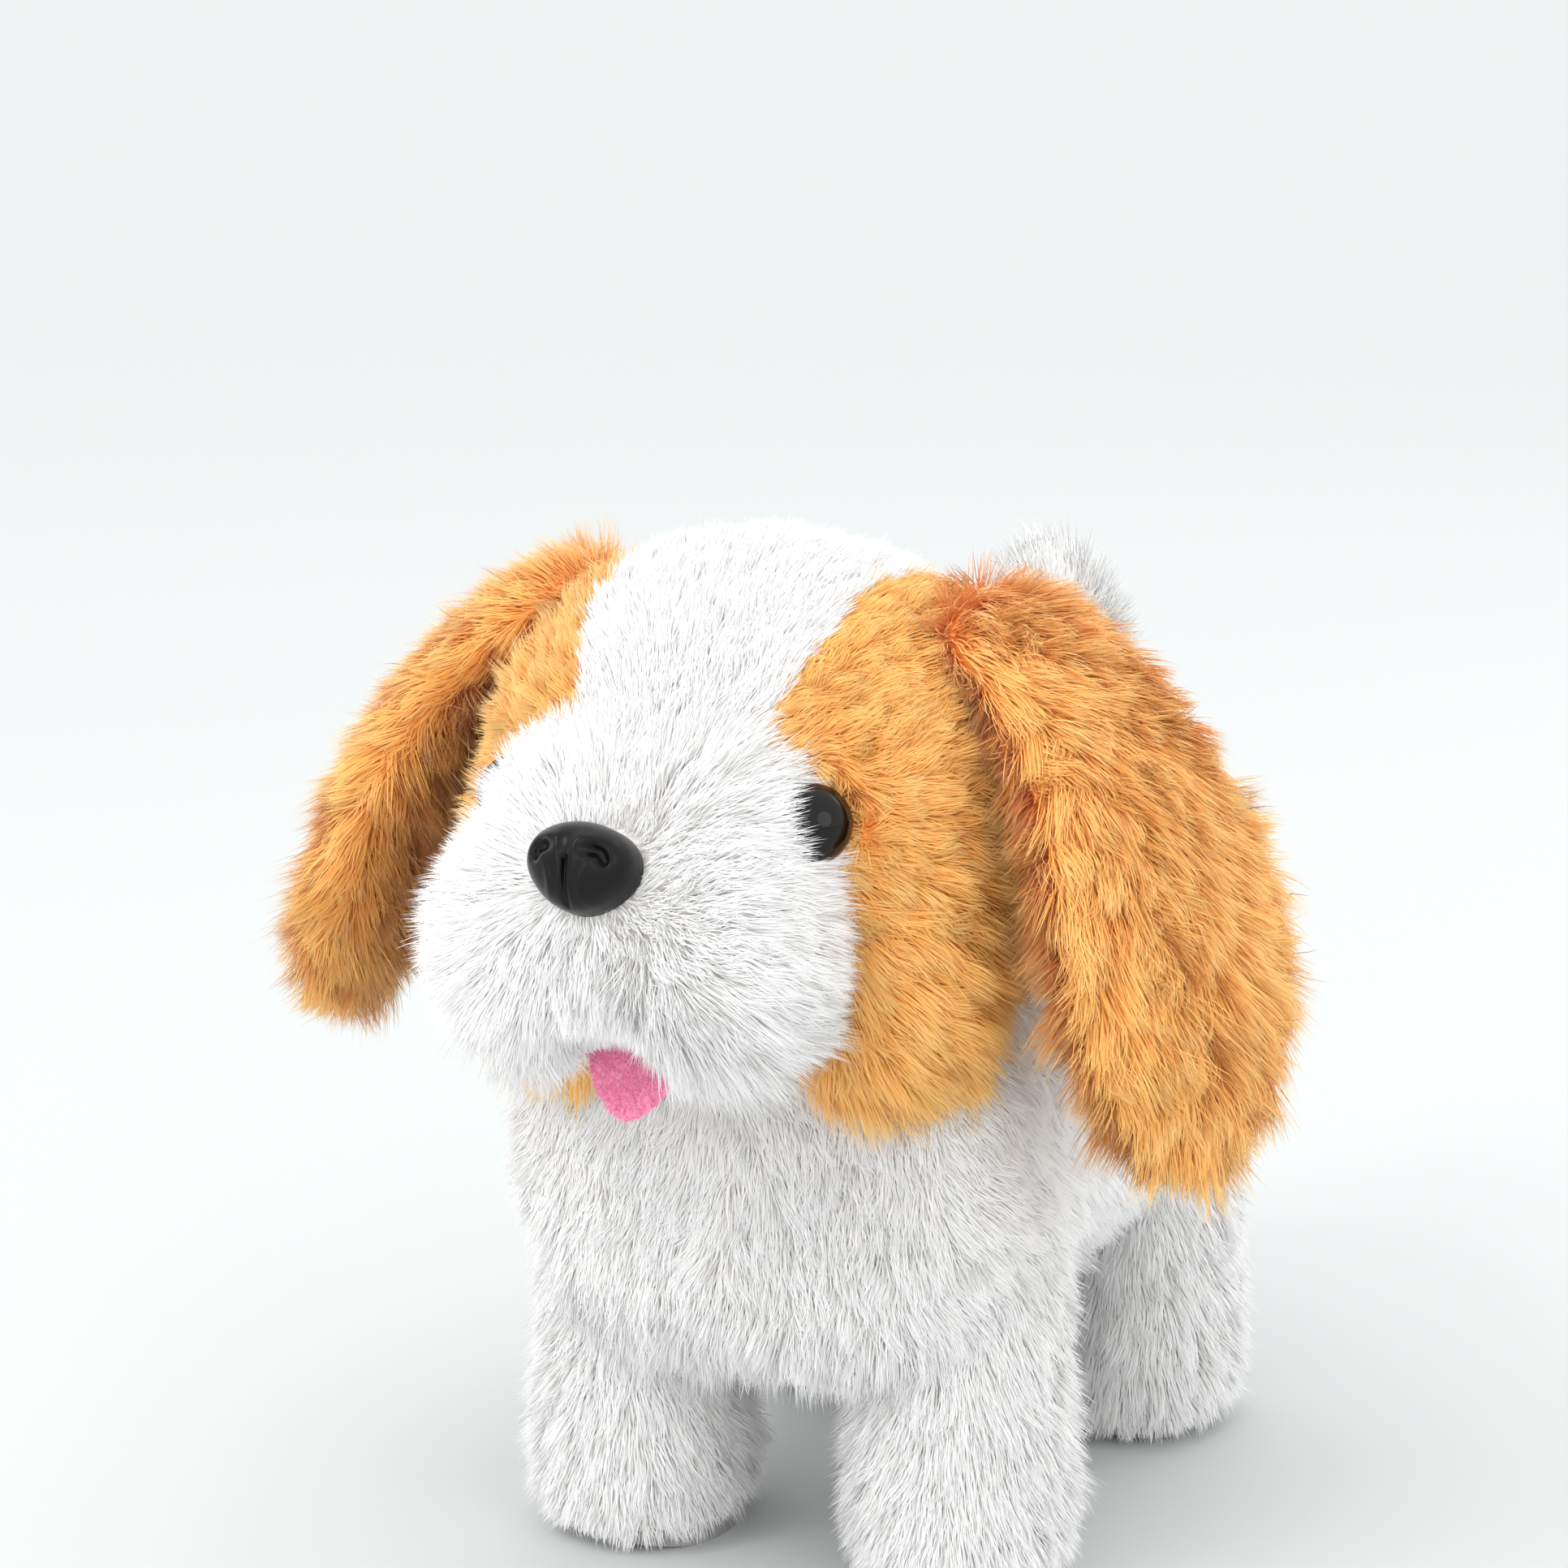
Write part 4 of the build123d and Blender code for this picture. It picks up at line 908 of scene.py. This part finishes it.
# ---- finishes for the moulded and inner pieces -----------------------------------------------
# colour, roughness, grain size (higher is finer), grain strength
FINISH = {
    "white_plush": (srgb(226, 220, 216), 0.9, 500, 0.4),
    "orange_plush": (srgb(232, 120, 40), 0.9, 500, 0.4),
    "felt_pink": (srgb(250, 118, 160), 0.9, 900, 0.4),
    "stuffing": (srgb(243, 243, 240), 0.95, 160, 0.8),
    "black_gloss": (srgb(12, 11, 12), 0.2, 300, 0.05),
    "case_white": (srgb(224, 222, 214), 0.42, 700, 0.12),
    "grey_plastic": (srgb(150, 149, 150), 0.5, 900, 0.18),
    "nylon": (srgb(236, 232, 214), 0.38, 500, 0.08),
    "steel": (srgb(188, 190, 194), 0.28, 400, 0.06),
    "board_green": (srgb(24, 92, 54), 0.4, 300, 0.06),
    "battery_skin": (srgb(38, 44, 52), 0.35, 200, 0.04),
    "speaker_black": (srgb(30, 30, 32), 0.6, 900, 0.15),
    "washer": (srgb(236, 236, 232), 0.5, 600, 0.1),
}


def finish_material(slot):
    colour, roughness, grain, strength = FINISH[slot]
    material = make_material("finish_" + slot, colour, roughness, Metallic=1.0 if slot == "steel" else 0.0)
    noise = bump_nodes(material, grain, strength, 0.0002)
    tree = material.node_tree
    tones = [0.9 * np.array(colour), np.minimum(1.06 * np.array(colour), 1)]
    grained = colour_ramp(tree, noise.outputs["Fac"], tones)
    tree.links.new(grained, tree.nodes["Principled BSDF"].inputs["Base Color"])
    return material


MATERIALS = {slot: finish_material(slot) for slot in FINISH}
for node in frame["nodes"].values():
    for slot in node.material_slots:
        name = slot.material.name.split(".")[0] if slot.material else "case_white"
        slot.material = MATERIALS.get(name, MATERIALS["case_white"])

# ---- floor, light and camera ------------------------------------------------------------------
FLOOR_RADIUS, FLOOR_INNER, FLOOR_SIDES = 30000, 1000, 96
turn = np.linspace(0, 2 * math.pi, FLOOR_SIDES, endpoint=False)
rim = vectors(np.cos(turn), np.sin(turn), 0)
here = np.arange(FLOOR_SIDES)
after = np.roll(here, -1)
ring = np.stack([here, after, after + FLOOR_SIDES, here + FLOOR_SIDES], axis=-1)
floor = new_object("floor", np.concatenate([rim * FLOOR_RADIUS, rim * FLOOR_INNER]),
                   [ring, (here + FLOOR_SIDES)[None]])
floor.data.materials.append(make_material("floor_pale", srgb(213, 215, 215), 0.8))

world = bpy.data.worlds.new("studio")
bpy.context.scene.world = world
world.use_nodes = True
world.node_tree.nodes["Background"].inputs["Color"].default_value = (*srgb(250, 252, 252), 1)
world.node_tree.nodes["Background"].inputs["Strength"].default_value = 1.3


def area_light(name, place, target, size, power):
    light = bpy.data.lights.new(name, "AREA")
    light.shape = "DISK"
    light.size = size
    light.energy = power
    obj = bpy.data.objects.new(name, light)
    obj.location = place
    obj.rotation_mode = "QUATERNION"
    obj.rotation_quaternion = (Vector(target) - Vector(place)).to_track_quat("-Z", "Y")
    bpy.context.scene.collection.objects.link(obj)


area_light("key", (-0.35, -0.75, 0.85), (0, 0, 0.1), 0.45, 3.0)
area_light("fill", (0.9, -0.5, 0.5), (0, 0, 0.1), 0.7, 1.4)
area_light("low", (0.1, -1.0, 0.2), (0, 0, 0.06), 0.7, 1.6)
area_light("back", (0.5, 0.9, 0.75), (0, 0, 0.1), 0.7, 1.4)
bpy.context.scene.view_settings.view_transform = "Standard"

AZIMUTH, ELEVATION = math.radians(25.6), math.radians(11.8)
camera_data = bpy.data.cameras.new("camera")
camera_data.sensor_width = 36.0
camera_data.lens = 93.17
camera_data.clip_start, camera_data.clip_end = 0.01, 20
camera = bpy.data.objects.new("camera", camera_data)
camera.location = (0.268, -0.5898, 0.2579)
camera.rotation_mode = "QUATERNION"
look = Vector((-math.sin(AZIMUTH) * math.cos(ELEVATION), math.cos(AZIMUTH) * math.cos(ELEVATION),
               -math.sin(ELEVATION)))
camera.rotation_quaternion = look.to_track_quat("-Z", "Y")
bpy.context.scene.collection.objects.link(camera)
bpy.context.scene.camera = camera
